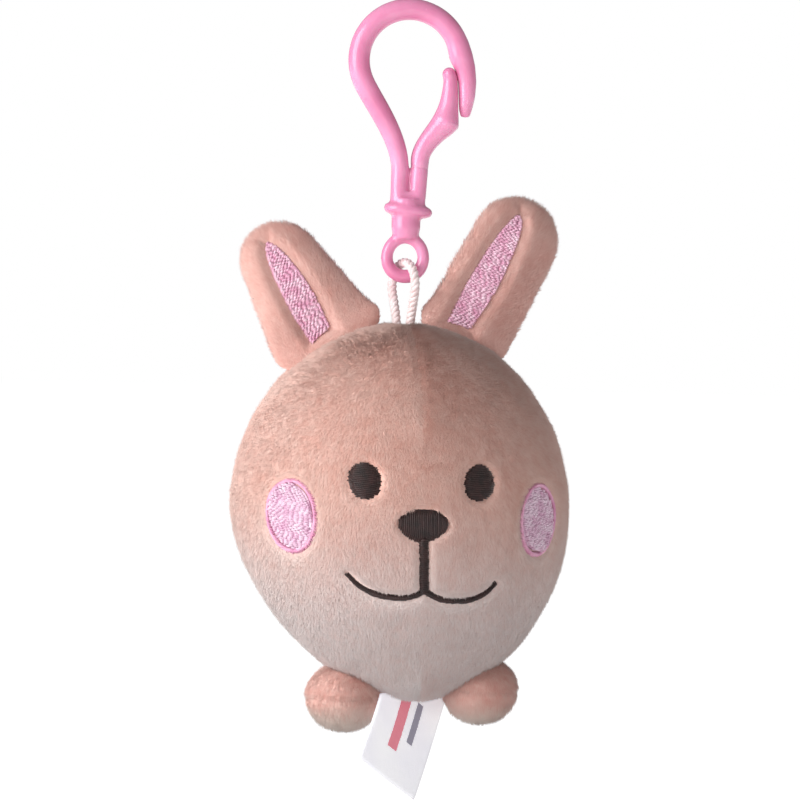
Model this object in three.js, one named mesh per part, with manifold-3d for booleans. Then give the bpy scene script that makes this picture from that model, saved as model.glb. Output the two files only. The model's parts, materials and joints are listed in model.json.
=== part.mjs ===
// Plush rabbit keychain: a snap clip, a cord loop through its eye, and a stuffed head-body.
//
// Millimetres, +Z up, front towards -Y, +X to the right of someone looking at the face.
// The origin is the inside top of the clip's hook, where a bag's ring bears on it.
// Fabric panels, filling and embroidery are plain closed solids with small gaps between them.
import * as THREE from "three";
import { mergeVertices } from "three/addons/utils/BufferGeometryUtils.js";
import Module from "manifold-3d";

const wasm = await Module();
wasm.setup();

const DEGREE = Math.PI / 180;
const GAP = 0.3; // clearance between solids that touch on the real object
const CURVE_SEGMENTS = 7; // in each curve of an outline

// ---- Driving dimensions: the clip ----
const LOOP_CENTRE_Z = -7.5; // middle of the round end of the pear opening
const LOOP_INNER_R = 7.5; // so the origin lies on the bearing surface
const LOOP_OUTER_R = 11.55;
const LEG_ANGLE = 205 * DEGREE; // where the round end runs out into the fixed leg
const LIP_ANGLE = 25 * DEGREE; // where it runs out into the lip
const CLIP_DEPTH = 4.0; // front to back
const CLIP_ROUNDING = 0.7; // of the bars' edges
const ROOT_TOP_Z = -27.6; // the solid block where both legs meet
const ROOT_BOTTOM_Z = -34.2;
const GATE_PIVOT = new THREE.Vector2(2.4, -25.5); // centre of the thin root that flexes
const GATE_ROOT_R = 1.8;
const GATE_DEPTH = 3.6;
const FLANGE_R = 4.4;
const FLANGE_TOP_Z = -33.7;
const FLANGE_BOTTOM_Z = -36.9;
const STEM_R = 2.6;
const EYE_CENTRE_Z = -44.1;
const EYE_RING_R = 3.43; // to the middle of the ring's bar
const EYE_BAR_R = 1.13;

// ---- Driving dimensions: the cord ----
const CORD_R = 0.9;
const CORD_SIDES = 8;
const CORD_STEPS = 36;
// One loop: up behind the eye's bar, forward through the eye, and down in front.
const CORD_ROUTE = [
  [-1.15, 0.1, -60.4],
  [-1.15, 0.2, -58.6],
  [-1.2, 0.6, -56.6],
  [-1.35, 1.3, -54.4],
  [-1.6, 2.3, -52.0],
  [-1.8, 3.2, -50.0],
  [-1.7, 3.55, -48.2],
  [-1.3, 2.9, -46.4],
  [-0.7, 1.6, -45.3],
  [0.0, 0.0, -44.95],
  [0.6, -1.6, -45.3],
  [1.1, -2.9, -46.4],
  [1.4, -3.55, -48.2],
  [1.45, -3.2, -50.0],
  [1.4, -2.3, -52.0],
  [1.25, -1.3, -54.4],
  [1.15, -0.6, -56.6],
  [1.15, -0.2, -58.6],
  [1.15, -0.1, -60.4],
];
const KNOT_Z = -63.3;
const KNOT_R = 2.5;

// ---- Driving dimensions: the body ----
const BODY_CENTRE_Z = -91.0; // height of the widest ring
const BODY_R = 31.6;
const BODY_RISE = 35.0; // from the widest ring to the crown
const BODY_DROP = 35.7; // from the widest ring to the underside
const BODY_TOP_ROUNDNESS = 2.0; // superellipse exponents
const BODY_BOTTOM_ROUNDNESS = 1.75;
const BODY_DEPTH_RATIO = 0.95;
const BODY_SWAY = 3.5; // how far the underside sits to the right
const BODY_SWAY_POWER = 1.2;
const BODY_SEGMENTS = 28;
const BODY_RINGS = 15;
const PANEL_THICKNESS = 1.2;
const CORD_HOLE_R = 2.7; // gap left in the crown seam for the cord
const KNOT_POCKET_R = 3.1;
const KNOT_POCKET_BOTTOM_Z = -66.6;

// ---- Driving dimensions: the ears ----
const EAR_BASE_HALF_DEPTH = 2.6;
const EAR_MIDDLE_HALF_DEPTH = 3.9;
const EAR_FULL_DEPTH_AT = 11; // height at which the ear is thickest
const EAR_SEGMENTS = 16;
const EAR_SOCKET_CLEARANCE = 0.6;
const EAR_PANEL_THICKNESS = 1.0;
const EARS = [
  {
    side: "left", length: 23.8, baseHalfWidth: 9.7, tipR: 8.0, hinge: [-14.4, 0, -58.3],
    lean: -31, tilt: -16, turn: 6, patchShift: -0.7,
  },
  {
    side: "right", length: 27.3, baseHalfWidth: 9.3, tipR: 8.7, hinge: [12.2, 0, -56.9],
    lean: 27.5, tilt: -3, turn: 6, patchShift: -1.7,
  },
];
const EAR_PATCH_HALF_WIDTH = 2.7;
const EAR_PATCH_BOTTOM = 2.6;
const EAR_PATCH_TIP_MARGIN = 4.2;

// ---- Driving dimensions: the embroidery ----
const STITCH_THICKNESS = 0.6;
const EYE_SPOT = { x: 10.4, z: -84.4, halfWidth: 2.9, halfHeight: 3.2 };
const NOSE = { z: -91.9, halfWidth: 4.6, halfHeight: 3.0 };
const PHILTRUM = { top: -94.5, bottom: -104.4, halfWidth: 0.8 };
const MOUTH = { halfWidth: 13.4, cornerZ: -102.2, lowX: 6.0, lowZ: -106.2, centreZ: -104.9, stroke: 0.95 };
const CHEEK = { angle: 50.5, z: -91.3, halfWidth: 4.8, halfHeight: 5.4 };
const CHEEK_OUTLINE = { gap: 0.5, width: 0.8 };
const CLOSING_STITCH = { top: -98, bottom: -113, halfWidth: 0.5 };

// ---- Driving dimensions: the feet and the label ----
const FOOT_RADII = [7.4, 7.2, 6.4];
const FOOT_PANEL_THICKNESS = 1.0;
const FOOT_CLEARANCE = 1.5; // room to flex under the body
const FEET = [
  { side: "left", centre: [-9.9, -2.5, -125.5] },
  { side: "right", centre: [15.6, -2.5, -123.9] },
];
const LABEL = { width: 14.2, length: 18.6, thickness: 0.8, lean: 22.3, y: 4.6, topZ: -126.7, x: 5.2, z: -124.9 };

// ---- Finishes ----
const finish = {
  plastic: () => new THREE.MeshStandardMaterial({ color: "#f08cc4", roughness: 0.25, metalness: 0 }),
  cord: () => new THREE.MeshStandardMaterial({ color: "#f6ecef", roughness: 0.6, metalness: 0 }),
  plush: () => new THREE.MeshStandardMaterial({ color: "#e3b3a7", roughness: 0.95, metalness: 0 }),
  filling: () => new THREE.MeshStandardMaterial({ color: "#f4f4f2", roughness: 1, metalness: 0 }),
  pinkThread: () => new THREE.MeshStandardMaterial({ color: "#eda6c4", roughness: 0.4, metalness: 0 }),
  darkThread: () => new THREE.MeshStandardMaterial({ color: "#3a2425", roughness: 0.5, metalness: 0 }),
  label: () => new THREE.MeshStandardMaterial({ color: "#f3f2f8", roughness: 0.45, metalness: 0 }),
};

// ---- Turning geometry into solids and solids into meshes ----

// A solid for cutting and joining, from any closed geometry.
function solid(geometry) {
  const bare = geometry.clone();
  bare.deleteAttribute("normal");
  bare.deleteAttribute("uv");
  const merged = mergeVertices(bare, 1e-4);
  const index = merged.index.array;
  const triangles = [];
  for (let i = 0; i < index.length; i += 3) {
    const [a, b, c] = index.slice(i, i + 3);
    if (a !== b && b !== c && c !== a) {
      triangles.push(a, b, c);
    }
  }
  return new wasm.Manifold(
    new wasm.Mesh({
      numProp: 3,
      vertProperties: new Float32Array(merged.attributes.position.array),
      triVerts: new Uint32Array(triangles),
    }),
  );
}

function part(name, body, material) {
  const { vertProperties, triVerts } = body.getMesh();
  const geometry = new THREE.BufferGeometry();
  geometry.setAttribute("position", new THREE.BufferAttribute(vertProperties, 3));
  geometry.setIndex(new THREE.BufferAttribute(triVerts, 1));
  geometry.computeVertexNormals();
  const mesh = new THREE.Mesh(geometry, material);
  mesh.name = name;
  return mesh;
}

// A box between two corners.
function block(low, high) {
  const size = high.map((value, i) => value - low[i]);
  const box = new THREE.BoxGeometry(...size);
  box.translate(...low.map((value, i) => value + size[i] / 2));
  return solid(box);
}

// The same outline as plain corners, without the doubled ones where two curves meet.
function cornered(shape) {
  const points = shape.getPoints(CURVE_SEGMENTS);
  const kept = points.filter((point, i) => {
    const next = points[(i + 1) % points.length];
    return point.distanceTo(next) > 0.01;
  });
  return new THREE.Shape(kept);
}

// An outline drawn in X and Z, made a slab that is centred on Y = 0.
function slab(shape, depth, rounding = 0) {
  const geometry = new THREE.ExtrudeGeometry(cornered(shape), {
    depth: depth - 2 * rounding,
    bevelEnabled: rounding > 0,
    bevelThickness: rounding,
    bevelSize: rounding,
    bevelOffset: -rounding,
    bevelSegments: 2,
  });
  geometry.rotateX(Math.PI / 2);
  geometry.translate(0, depth / 2 - rounding, 0);
  return solid(geometry);
}

// A profile of [radius, height] pairs, listed upwards, turned about the Z axis.
function turned(profile, segments) {
  const points = profile.map(([radius, height]) => new THREE.Vector2(radius, height));
  const geometry = new THREE.LatheGeometry(points, segments);
  geometry.rotateX(Math.PI / 2);
  return geometry;
}

function ellipseShape(x, z, halfWidth, halfHeight) {
  const shape = new THREE.Shape();
  shape.absellipse(x, z, halfWidth, halfHeight, 0, 2 * Math.PI);
  return shape;
}

// A stroke of constant width along a flat curve.
function strokeShape(curve, width, steps) {
  const left = [];
  const right = [];
  for (let i = 0; i <= steps; i += 1) {
    const point = curve.getPoint(i / steps);
    const tangent = curve.getTangent(i / steps);
    const across = new THREE.Vector2(-tangent.y, tangent.x).multiplyScalar(width / 2);
    left.push(point.clone().add(across));
    right.unshift(point.clone().sub(across));
  }
  return new THREE.Shape([...left, ...right]);
}

// ---- The clip ----

function hookOutline() {
  const onLoop = (radius, angle) => [
    radius * Math.cos(angle),
    LOOP_CENTRE_Z + radius * Math.sin(angle),
  ];
  const shape = new THREE.Shape();
  shape.moveTo(-3.0, ROOT_BOTTOM_Z);
  shape.lineTo(-3.0, -28.0);
  shape.bezierCurveTo(-3.1, -22.5, -9.0, -15.65, ...onLoop(LOOP_OUTER_R, LEG_ANGLE));
  shape.absarc(0, LOOP_CENTRE_Z, LOOP_OUTER_R, LEG_ANGLE, LIP_ANGLE, true);
  shape.bezierCurveTo(12.1, -6.2, 13.1, -12.5, 11.1, -17.8);
  shape.lineTo(9.1, -17.5);
  shape.bezierCurveTo(9.5, -14.6, 9.45, -11.4, 9.2, -8.7);
  shape.lineTo(8.4, -7.9);
  shape.lineTo(...onLoop(LOOP_INNER_R, 0));
  shape.absarc(0, LOOP_CENTRE_Z, LOOP_INNER_R, 0, LEG_ANGLE, false);
  shape.bezierCurveTo(-5.0, -14.5, 0.2, -20.5, 0.3, ROOT_TOP_Z);
  shape.lineTo(3.9, ROOT_TOP_Z);
  shape.lineTo(3.3, ROOT_BOTTOM_Z);
  shape.closePath();
  return shape;
}

function makeHook() {
  const flange = turned(
    [
      [0, FLANGE_BOTTOM_Z],
      [STEM_R + 0.4, FLANGE_BOTTOM_Z],
      [FLANGE_R, FLANGE_BOTTOM_Z + 1.0],
      [FLANGE_R, FLANGE_TOP_Z - 1.0],
      [STEM_R + 0.4, FLANGE_TOP_Z],
      [0, FLANGE_TOP_Z],
    ],
    24,
  );
  const stem = turned(
    [
      [0, EYE_CENTRE_Z + EYE_RING_R - 0.3],
      [STEM_R - 0.5, EYE_CENTRE_Z + EYE_RING_R - 0.3],
      [STEM_R, EYE_CENTRE_Z + EYE_RING_R + 1.5],
      [STEM_R, ROOT_BOTTOM_Z + 0.5],
      [0, ROOT_BOTTOM_Z + 0.5],
    ],
    20,
  );
  const ring = new THREE.TorusGeometry(EYE_RING_R, EYE_BAR_R, 8, 24);
  ring.rotateX(Math.PI / 2);
  ring.translate(0, 0, EYE_CENTRE_Z);
  return slab(hookOutline(), CLIP_DEPTH, CLIP_ROUNDING)
    .add(solid(flange))
    .add(solid(stem))
    .add(solid(ring));
}

function gateOutline() {
  const shape = new THREE.Shape();
  shape.moveTo(GATE_PIVOT.x - GATE_ROOT_R, GATE_PIVOT.y);
  shape.bezierCurveTo(0.9, -23.2, 3.2, -20.6, 4.4, -18.4);
  shape.bezierCurveTo(5.8, -15.9, 6.3, -14.0, 6.4, -11.2);
  shape.lineTo(6.3, -9.6);
  shape.quadraticCurveTo(6.4, -8.3, 7.7, -8.4);
  shape.quadraticCurveTo(8.7, -8.6, 8.8, -9.6);
  shape.bezierCurveTo(9.05, -11.6, 9.05, -14.6, 8.5, -17.8);
  shape.lineTo(9.4, -19.0);
  shape.bezierCurveTo(8.2, -20.6, 4.6, -23.4, GATE_PIVOT.x + GATE_ROOT_R, GATE_PIVOT.y);
  shape.absarc(GATE_PIVOT.x, GATE_PIVOT.y, GATE_ROOT_R, 0, -Math.PI, true);
  return shape;
}

// ---- The cord and its knot ----

function makeCord() {
  const route = new THREE.CatmullRomCurve3(CORD_ROUTE.map((point) => new THREE.Vector3(...point)));
  const section = new THREE.Shape();
  section.absarc(0, 0, CORD_R, 0, 2 * Math.PI);
  const points = section.getSpacedPoints(CORD_SIDES).slice(0, CORD_SIDES);
  const tube = new THREE.ExtrudeGeometry(new THREE.Shape(points), {
    extrudePath: route,
    steps: CORD_STEPS,
  });
  return solid(tube);
}

function makeKnot() {
  const knot = new THREE.SphereGeometry(KNOT_R, 12, 8);
  knot.translate(0, 0, KNOT_Z);
  return solid(knot);
}

// ---- The body ----

function sway(z) {
  const down = Math.max(0, (BODY_CENTRE_Z - z) / BODY_DROP);
  return BODY_SWAY * down ** BODY_SWAY_POWER;
}

// The body's outer surface moved outwards by an offset, as a closed solid.
function bodyGeometry(offset) {
  const profile = [];
  for (let i = 0; i <= BODY_RINGS; i += 1) {
    const turn = -Math.PI / 2 + (Math.PI * i) / BODY_RINGS;
    const above = turn >= 0;
    const power = 2 / (above ? BODY_TOP_ROUNDNESS : BODY_BOTTOM_ROUNDNESS);
    const height = (above ? BODY_RISE : BODY_DROP) + offset;
    const z = Math.sign(turn) * height * Math.abs(Math.sin(turn)) ** power;
    const isPole = i === 0 || i === BODY_RINGS;
    const radius = isPole ? 0 : (BODY_R + offset) * Math.cos(turn) ** power;
    profile.push([radius, BODY_CENTRE_Z + z]);
  }
  const geometry = turned(profile, BODY_SEGMENTS);
  geometry.scale(1, BODY_DEPTH_RATIO, 1);
  const position = geometry.attributes.position;
  for (let i = 0; i < position.count; i += 1) {
    position.setX(i, position.getX(i) + sway(position.getZ(i)));
  }
  return geometry;
}

const bodySolid = (offset) => solid(bodyGeometry(offset));

// ---- The ears ----

function earPlace(ear) {
  const place = new THREE.Group();
  place.position.set(...ear.hinge);
  place.rotation.set(ear.tilt * DEGREE, ear.lean * DEGREE, ear.turn * DEGREE, "YXZ");
  place.updateMatrixWorld(true);
  return place;
}

// An ear stands along its own Z from its fold line, and its rounded base turns about its own X.
function earGeometry(ear, offset) {
  const baseHalf = ear.baseHalfWidth + offset;
  const baseDepth = EAR_BASE_HALF_DEPTH + offset;
  const tipR = ear.tipR + offset;
  const tipStart = ear.length - ear.tipR;
  const profile = [];
  for (let i = 0; i <= 4; i += 1) {
    const turn = (-Math.PI / 2) * (1 - i / 4);
    profile.push([i === 0 ? 0 : baseHalf * Math.cos(turn), baseDepth * Math.sin(turn)]);
  }
  for (let i = 1; i <= 3; i += 1) {
    const along = i / 4;
    profile.push([baseHalf + (tipR - baseHalf) * along, tipStart * along]);
  }
  for (let i = 0; i <= 5; i += 1) {
    const turn = (Math.PI / 2) * (i / 5);
    profile.push([i === 5 ? 0 : tipR * Math.cos(turn), tipStart + tipR * Math.sin(turn)]);
  }
  const geometry = turned(profile, EAR_SEGMENTS);
  const position = geometry.attributes.position;
  for (let i = 0; i < position.count; i += 1) {
    const rise = THREE.MathUtils.smoothstep(position.getZ(i), 0, EAR_FULL_DEPTH_AT);
    const depth = EAR_BASE_HALF_DEPTH + rise * (EAR_MIDDLE_HALF_DEPTH - EAR_BASE_HALF_DEPTH);
    position.setY(i, (position.getY(i) * (depth + offset)) / baseHalf);
  }
  return geometry;
}

// The hollow that an ear's base turns in.
function earSocket(ear) {
  const socket = new THREE.SphereGeometry(1, EAR_SEGMENTS, 12);
  const around = EAR_BASE_HALF_DEPTH + EAR_SOCKET_CLEARANCE;
  socket.scale(ear.baseHalfWidth + EAR_SOCKET_CLEARANCE, around, around);
  socket.applyMatrix4(earPlace(ear).matrixWorld);
  return solid(socket);
}

// A pointed leaf with a flat lower end.
function earPatchShape(length, shift) {
  const top = length - EAR_PATCH_TIP_MARGIN;
  const half = EAR_PATCH_HALF_WIDTH;
  const shape = new THREE.Shape();
  shape.moveTo(shift - half * 0.8, EAR_PATCH_BOTTOM);
  shape.lineTo(shift + half * 0.8, EAR_PATCH_BOTTOM);
  shape.quadraticCurveTo(shift + half * 1.4, top * 0.62, shift, top);
  shape.quadraticCurveTo(shift - half * 1.4, top * 0.62, shift - half * 0.8, EAR_PATCH_BOTTOM);
  return shape;
}

function makeEar(ear) {
  const outer = solid(earGeometry(ear, 0));
  const shell = outer.subtract(solid(earGeometry(ear, -EAR_PANEL_THICKNESS)));
  const far = 60;
  const front = block([-far, -far, -far], [far, -GAP / 2, far]);
  const back = block([-far, GAP / 2, -far], [far, far, far]);
  const skin = solid(earGeometry(ear, GAP + STITCH_THICKNESS));
  const under = solid(earGeometry(ear, GAP));
  const prism = slab(earPatchShape(ear.length, ear.patchShift), far);
  const place = earPlace(ear);
  place.add(
    part(`ear_front_${ear.side}`, shell.intersect(front), finish.plush()),
    part(`ear_back_${ear.side}`, shell.intersect(back), finish.plush()),
    part(
      `ear_filling_${ear.side}`,
      solid(earGeometry(ear, -EAR_PANEL_THICKNESS - GAP)),
      finish.filling(),
    ),
    part(
      `ear_embroidery_${ear.side}`,
      skin.subtract(under).intersect(prism).intersect(front),
      finish.pinkThread(),
    ),
  );
  return place;
}

// ---- Embroidery on the body ----

// What a flat outline covers of a thin skin just off the body, seen from the front.
function stitched(shape, angle = 0) {
  const far = 50;
  const prism = new THREE.ExtrudeGeometry(shape, { depth: far, bevelEnabled: false, curveSegments: 8 });
  prism.rotateX(Math.PI / 2);
  prism.rotateZ(angle * DEGREE);
  return stitchSkin.intersect(solid(prism));
}

function noseShape() {
  const { z, halfWidth, halfHeight } = NOSE;
  const shape = new THREE.Shape();
  shape.moveTo(-halfWidth * 0.6, z + halfHeight);
  shape.lineTo(halfWidth * 0.6, z + halfHeight);
  shape.bezierCurveTo(halfWidth * 1.2, z + halfHeight, halfWidth * 1.1, z, halfWidth * 0.55, z - 1.1);
  shape.quadraticCurveTo(0, z - halfHeight * 1.5, -halfWidth * 0.55, z - 1.1);
  shape.bezierCurveTo(-halfWidth * 1.1, z, -halfWidth * 1.2, z + halfHeight, -halfWidth * 0.6, z + halfHeight);
  return shape;
}

function philtrumShape() {
  const middle = sway((PHILTRUM.top + PHILTRUM.bottom) / 2);
  const shape = new THREE.Shape();
  shape.moveTo(middle - PHILTRUM.halfWidth, PHILTRUM.bottom);
  shape.lineTo(middle + PHILTRUM.halfWidth, PHILTRUM.bottom);
  shape.lineTo(PHILTRUM.halfWidth, PHILTRUM.top);
  shape.lineTo(-PHILTRUM.halfWidth, PHILTRUM.top);
  shape.closePath();
  return shape;
}

function mouthShape() {
  const middle = sway(MOUTH.centreZ);
  const corner = (side) => new THREE.Vector2(middle + side * MOUTH.halfWidth, MOUTH.cornerZ);
  const low = (side) => new THREE.Vector2(middle + side * MOUTH.lowX, MOUTH.lowZ);
  const centre = new THREE.Vector2(middle, MOUTH.centreZ - GAP - MOUTH.stroke / 2);
  const line = new THREE.SplineCurve([corner(-1), low(-1), centre, low(1), corner(1)]);
  return strokeShape(line, MOUTH.stroke, 28);
}

const stitchSkin = bodySolid(GAP + STITCH_THICKNESS).subtract(bodySolid(GAP));

function cheekShapes() {
  const { z, halfWidth, halfHeight } = CHEEK;
  const inner = CHEEK_OUTLINE.gap;
  const outer = CHEEK_OUTLINE.gap + CHEEK_OUTLINE.width;
  const ring = ellipseShape(0, z, halfWidth + outer, halfHeight + outer);
  ring.holes.push(ellipseShape(0, z, halfWidth + inner, halfHeight + inner));
  return { fill: ellipseShape(0, z, halfWidth, halfHeight), ring };
}

// ---- The object ----

const far = 200;
const frontHalf = block([-far, -far, -far], [far, -GAP / 2, far]);
const backLeft = block([-far, GAP / 2, -far], [-GAP / 2, far, far]);
const backRight = block([GAP / 2, GAP / 2, -far], [far, far, far]);
const sockets = EARS.map(earSocket);

function makeShell() {
  const cordHole = turned(
    [
      [0, BODY_CENTRE_Z],
      [CORD_HOLE_R, BODY_CENTRE_Z],
      [CORD_HOLE_R, 0],
      [0, 0],
    ],
    16,
  );
  const hollow = bodySolid(0).subtract(bodySolid(-PANEL_THICKNESS)).subtract(solid(cordHole));
  return sockets.reduce((body, socket) => body.subtract(socket), hollow);
}

function makeFilling() {
  const pocket = turned(
    [
      [0, KNOT_POCKET_BOTTOM_Z],
      [KNOT_POCKET_R, KNOT_POCKET_BOTTOM_Z],
      [KNOT_POCKET_R, 0],
      [0, 0],
    ],
    16,
  );
  const full = bodySolid(-PANEL_THICKNESS - GAP).subtract(solid(pocket));
  return sockets.reduce((body, socket) => body.subtract(socket), full);
}

function makeFoot(foot) {
  const [x, y, z] = foot.centre;
  const ball = (inset) => {
    const sphere = new THREE.SphereGeometry(1, 14, 10);
    sphere.scale(...FOOT_RADII.map((radius) => radius - inset));
    return solid(sphere);
  };
  const bodyNear = (offset) => {
    const geometry = bodyGeometry(offset);
    geometry.translate(-x, -y, -z);
    return solid(geometry);
  };
  const room = bodyNear(FOOT_CLEARANCE);
  const shell = ball(0).subtract(ball(FOOT_PANEL_THICKNESS)).subtract(room);
  const reach = 20;
  const place = new THREE.Group();
  place.position.set(x, y, z);
  place.add(
    part(
      `foot_upper_${foot.side}`,
      shell.intersect(block([-reach, -reach, GAP / 2], [reach, reach, reach])),
      finish.plush(),
    ),
    part(
      `foot_lower_${foot.side}`,
      shell.intersect(block([-reach, -reach, -reach], [reach, reach, -GAP / 2])),
      finish.plush(),
    ),
    part(
      `foot_filling_${foot.side}`,
      ball(FOOT_PANEL_THICKNESS + GAP).subtract(bodyNear(FOOT_CLEARANCE + GAP)),
      finish.filling(),
    ),
  );
  return place;
}

// The tag hangs askew, and its upper end is trimmed level under the body.
function makeLabel() {
  const tag = new THREE.BoxGeometry(LABEL.width, LABEL.thickness, LABEL.length);
  tag.translate(0, 0, -LABEL.length / 2);
  tag.rotateY(LABEL.lean * DEGREE);
  tag.translate(LABEL.x, LABEL.y, LABEL.z);
  const level = block([-far, -far, -far], [far, far, LABEL.topZ]);
  return solid(tag).intersect(level);
}

const clip = new THREE.Group();
clip.add(
  part("clip_hook", makeHook(), finish.plastic()),
  part("clip_gate", slab(gateOutline(), GATE_DEPTH, CLIP_ROUNDING), finish.plastic()),
);

const cord = new THREE.Group();
cord.add(
  part("cord_loop", makeCord(), finish.cord()),
  part("cord_knot", makeKnot(), finish.cord()),
);

const shell = makeShell();
const cover = new THREE.Group();
cover.add(
  part("face_panel", shell.intersect(frontHalf), finish.plush()),
  part("back_panel_left", shell.intersect(backLeft), finish.plush()),
  part("back_panel_right", shell.intersect(backRight), finish.plush()),
  part("body_filling", makeFilling(), finish.filling()),
);

const closing = new THREE.Shape();
closing.moveTo(-CLOSING_STITCH.halfWidth, CLOSING_STITCH.bottom);
closing.lineTo(CLOSING_STITCH.halfWidth, CLOSING_STITCH.bottom);
closing.lineTo(CLOSING_STITCH.halfWidth, CLOSING_STITCH.top);
closing.lineTo(-CLOSING_STITCH.halfWidth, CLOSING_STITCH.top);
closing.closePath();
cover.add(part("closing_stitch", stitched(closing, 180), finish.plush()));

const face = new THREE.Group();
for (const [side, sign] of [["left", -1], ["right", 1]]) {
  const eye = ellipseShape(sign * EYE_SPOT.x, EYE_SPOT.z, EYE_SPOT.halfWidth, EYE_SPOT.halfHeight);
  face.add(part(`eye_${side}`, stitched(eye), finish.darkThread()));
  const { fill, ring } = cheekShapes();
  const angle = sign * CHEEK.angle;
  face.add(part(`cheek_${side}`, stitched(fill, angle), finish.pinkThread()));
  face.add(part(`cheek_outline_${side}`, stitched(ring, angle), finish.pinkThread()));
}
face.add(
  part("nose", stitched(noseShape()).add(stitched(philtrumShape())), finish.darkThread()),
  part("mouth", stitched(mouthShape()), finish.darkThread()),
);

const plush = new THREE.Group();
plush.add(cover, face, ...EARS.map(makeEar), ...FEET.map(makeFoot));
plush.add(part("label", makeLabel(), finish.label()));

const keychain = new THREE.Group();
keychain.add(clip, cord, plush);

export default keychain;
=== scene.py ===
# %% [markdown]
# # A plush rabbit keychain
# A small stuffed rabbit hangs by a thin cord from a moulded plastic clip. Each visible piece is made
# here around a measured frame of plain solids, which also carries the joints. The work goes from the
# camera and the cord to the finishes, the clip, the stuffed parts, their pile, the embroidery and the tag.

# %% Load the frame
import json
import random
from math import atan2, cos, exp, hypot, pi, radians, sin

import bmesh
import bpy
import numpy as np
from mathutils import Matrix, Vector, noise
from mathutils.bvhtree import BVHTree

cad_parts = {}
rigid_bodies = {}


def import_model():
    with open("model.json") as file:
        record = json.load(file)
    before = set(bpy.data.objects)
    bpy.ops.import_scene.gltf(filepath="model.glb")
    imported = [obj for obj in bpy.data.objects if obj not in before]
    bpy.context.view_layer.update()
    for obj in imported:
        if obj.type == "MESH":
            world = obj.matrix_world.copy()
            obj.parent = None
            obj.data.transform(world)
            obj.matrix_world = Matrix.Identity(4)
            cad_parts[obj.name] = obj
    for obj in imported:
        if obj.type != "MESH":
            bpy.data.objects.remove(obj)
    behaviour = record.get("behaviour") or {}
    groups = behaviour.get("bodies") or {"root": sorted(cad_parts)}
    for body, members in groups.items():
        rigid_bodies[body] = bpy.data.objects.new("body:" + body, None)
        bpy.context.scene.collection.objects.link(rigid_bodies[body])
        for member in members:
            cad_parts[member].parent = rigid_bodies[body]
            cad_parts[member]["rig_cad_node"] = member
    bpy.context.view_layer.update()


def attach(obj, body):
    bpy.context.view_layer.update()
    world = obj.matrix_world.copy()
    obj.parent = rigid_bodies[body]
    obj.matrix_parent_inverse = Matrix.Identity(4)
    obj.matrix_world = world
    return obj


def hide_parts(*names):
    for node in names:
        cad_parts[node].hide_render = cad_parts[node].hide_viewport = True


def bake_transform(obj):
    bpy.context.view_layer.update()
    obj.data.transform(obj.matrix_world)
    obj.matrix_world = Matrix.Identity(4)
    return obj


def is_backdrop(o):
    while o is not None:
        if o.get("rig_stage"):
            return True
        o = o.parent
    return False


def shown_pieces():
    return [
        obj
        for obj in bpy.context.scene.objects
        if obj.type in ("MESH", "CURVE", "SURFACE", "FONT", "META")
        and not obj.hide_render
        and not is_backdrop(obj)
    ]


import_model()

MM = 0.001
scene = bpy.context.scene
collection = scene.collection

# %% [markdown]
# ## Camera and studio
# The keychain is shown a little from its own right, almost level, with a slight roll, as a thing looks
# that hangs from a hook. A long lens keeps it nearly free of perspective. The studio is a plain pale
# floor under an even sky, with one large soft lamp at the upper left.

# %% Camera
VIEW_HEIGHT = 148.8 * MM
SENSOR = 36.0
CAMERA_DISTANCE = 0.7
AIM = Vector((-0.3, 0, -70.5)) * MM
CAMERA_TURN = radians(-8.8)
CAMERA_RISE = radians(1.5)
CAMERA_ROLL = radians(1.4)

camera_data = bpy.data.cameras.new("camera")
camera_data.sensor_width = SENSOR
camera_data.lens = SENSOR * CAMERA_DISTANCE / VIEW_HEIGHT
camera = bpy.data.objects.new("camera", camera_data)
collection.objects.link(camera)
toward_camera = Vector((
    sin(CAMERA_TURN) * cos(CAMERA_RISE),
    -cos(CAMERA_TURN) * cos(CAMERA_RISE),
    sin(CAMERA_RISE),
))
camera.rotation_mode = "QUATERNION"
camera.location = AIM + toward_camera * CAMERA_DISTANCE
facing = (-toward_camera).to_track_quat("-Z", "Y")
camera.rotation_quaternion = facing @ Matrix.Rotation(CAMERA_ROLL, 3, "Z").to_quaternion()
scene.camera = camera
print("lens in mm:", round(camera_data.lens, 1))

# %% Lamp and sky
SKY_LIGHT = 0.27
KEY_POWER = 9.6
KEY_SIZE = 0.85
KEY_PLACE = Vector((-0.82, -0.42, 0.22))

scene.view_settings.view_transform = "Standard"
world = bpy.data.worlds.new("sky")
world.use_nodes = True
scene.world = world
sky = world.node_tree
sky_background = sky.nodes["Background"]
sky_seen = sky.nodes.new("ShaderNodeBackground")
sky_switch = sky.nodes.new("ShaderNodeMixShader")
sky_path = sky.nodes.new("ShaderNodeLightPath")
sky_background.inputs["Color"].default_value = (1, 1, 1, 1)
sky_background.inputs["Strength"].default_value = SKY_LIGHT
sky_seen.inputs["Color"].default_value = (1, 1, 1, 1)
sky_seen.inputs["Strength"].default_value = 1.0
sky.links.new(sky_path.outputs["Is Camera Ray"], sky_switch.inputs[0])
sky.links.new(sky_background.outputs[0], sky_switch.inputs[1])
sky.links.new(sky_seen.outputs[0], sky_switch.inputs[2])
sky.links.new(sky_switch.outputs[0], sky.nodes["World Output"].inputs["Surface"])

key_data = bpy.data.lights.new("key_lamp", "AREA")
key_data.shape = "DISK"
key_data.size = KEY_SIZE
key_data.energy = KEY_POWER
key_lamp = bpy.data.objects.new("key_lamp", key_data)
key_lamp.location = KEY_PLACE
key_lamp.rotation_mode = "QUATERNION"
key_lamp.rotation_quaternion = (AIM - KEY_PLACE).to_track_quat("-Z", "Y")
collection.objects.link(key_lamp)

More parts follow.
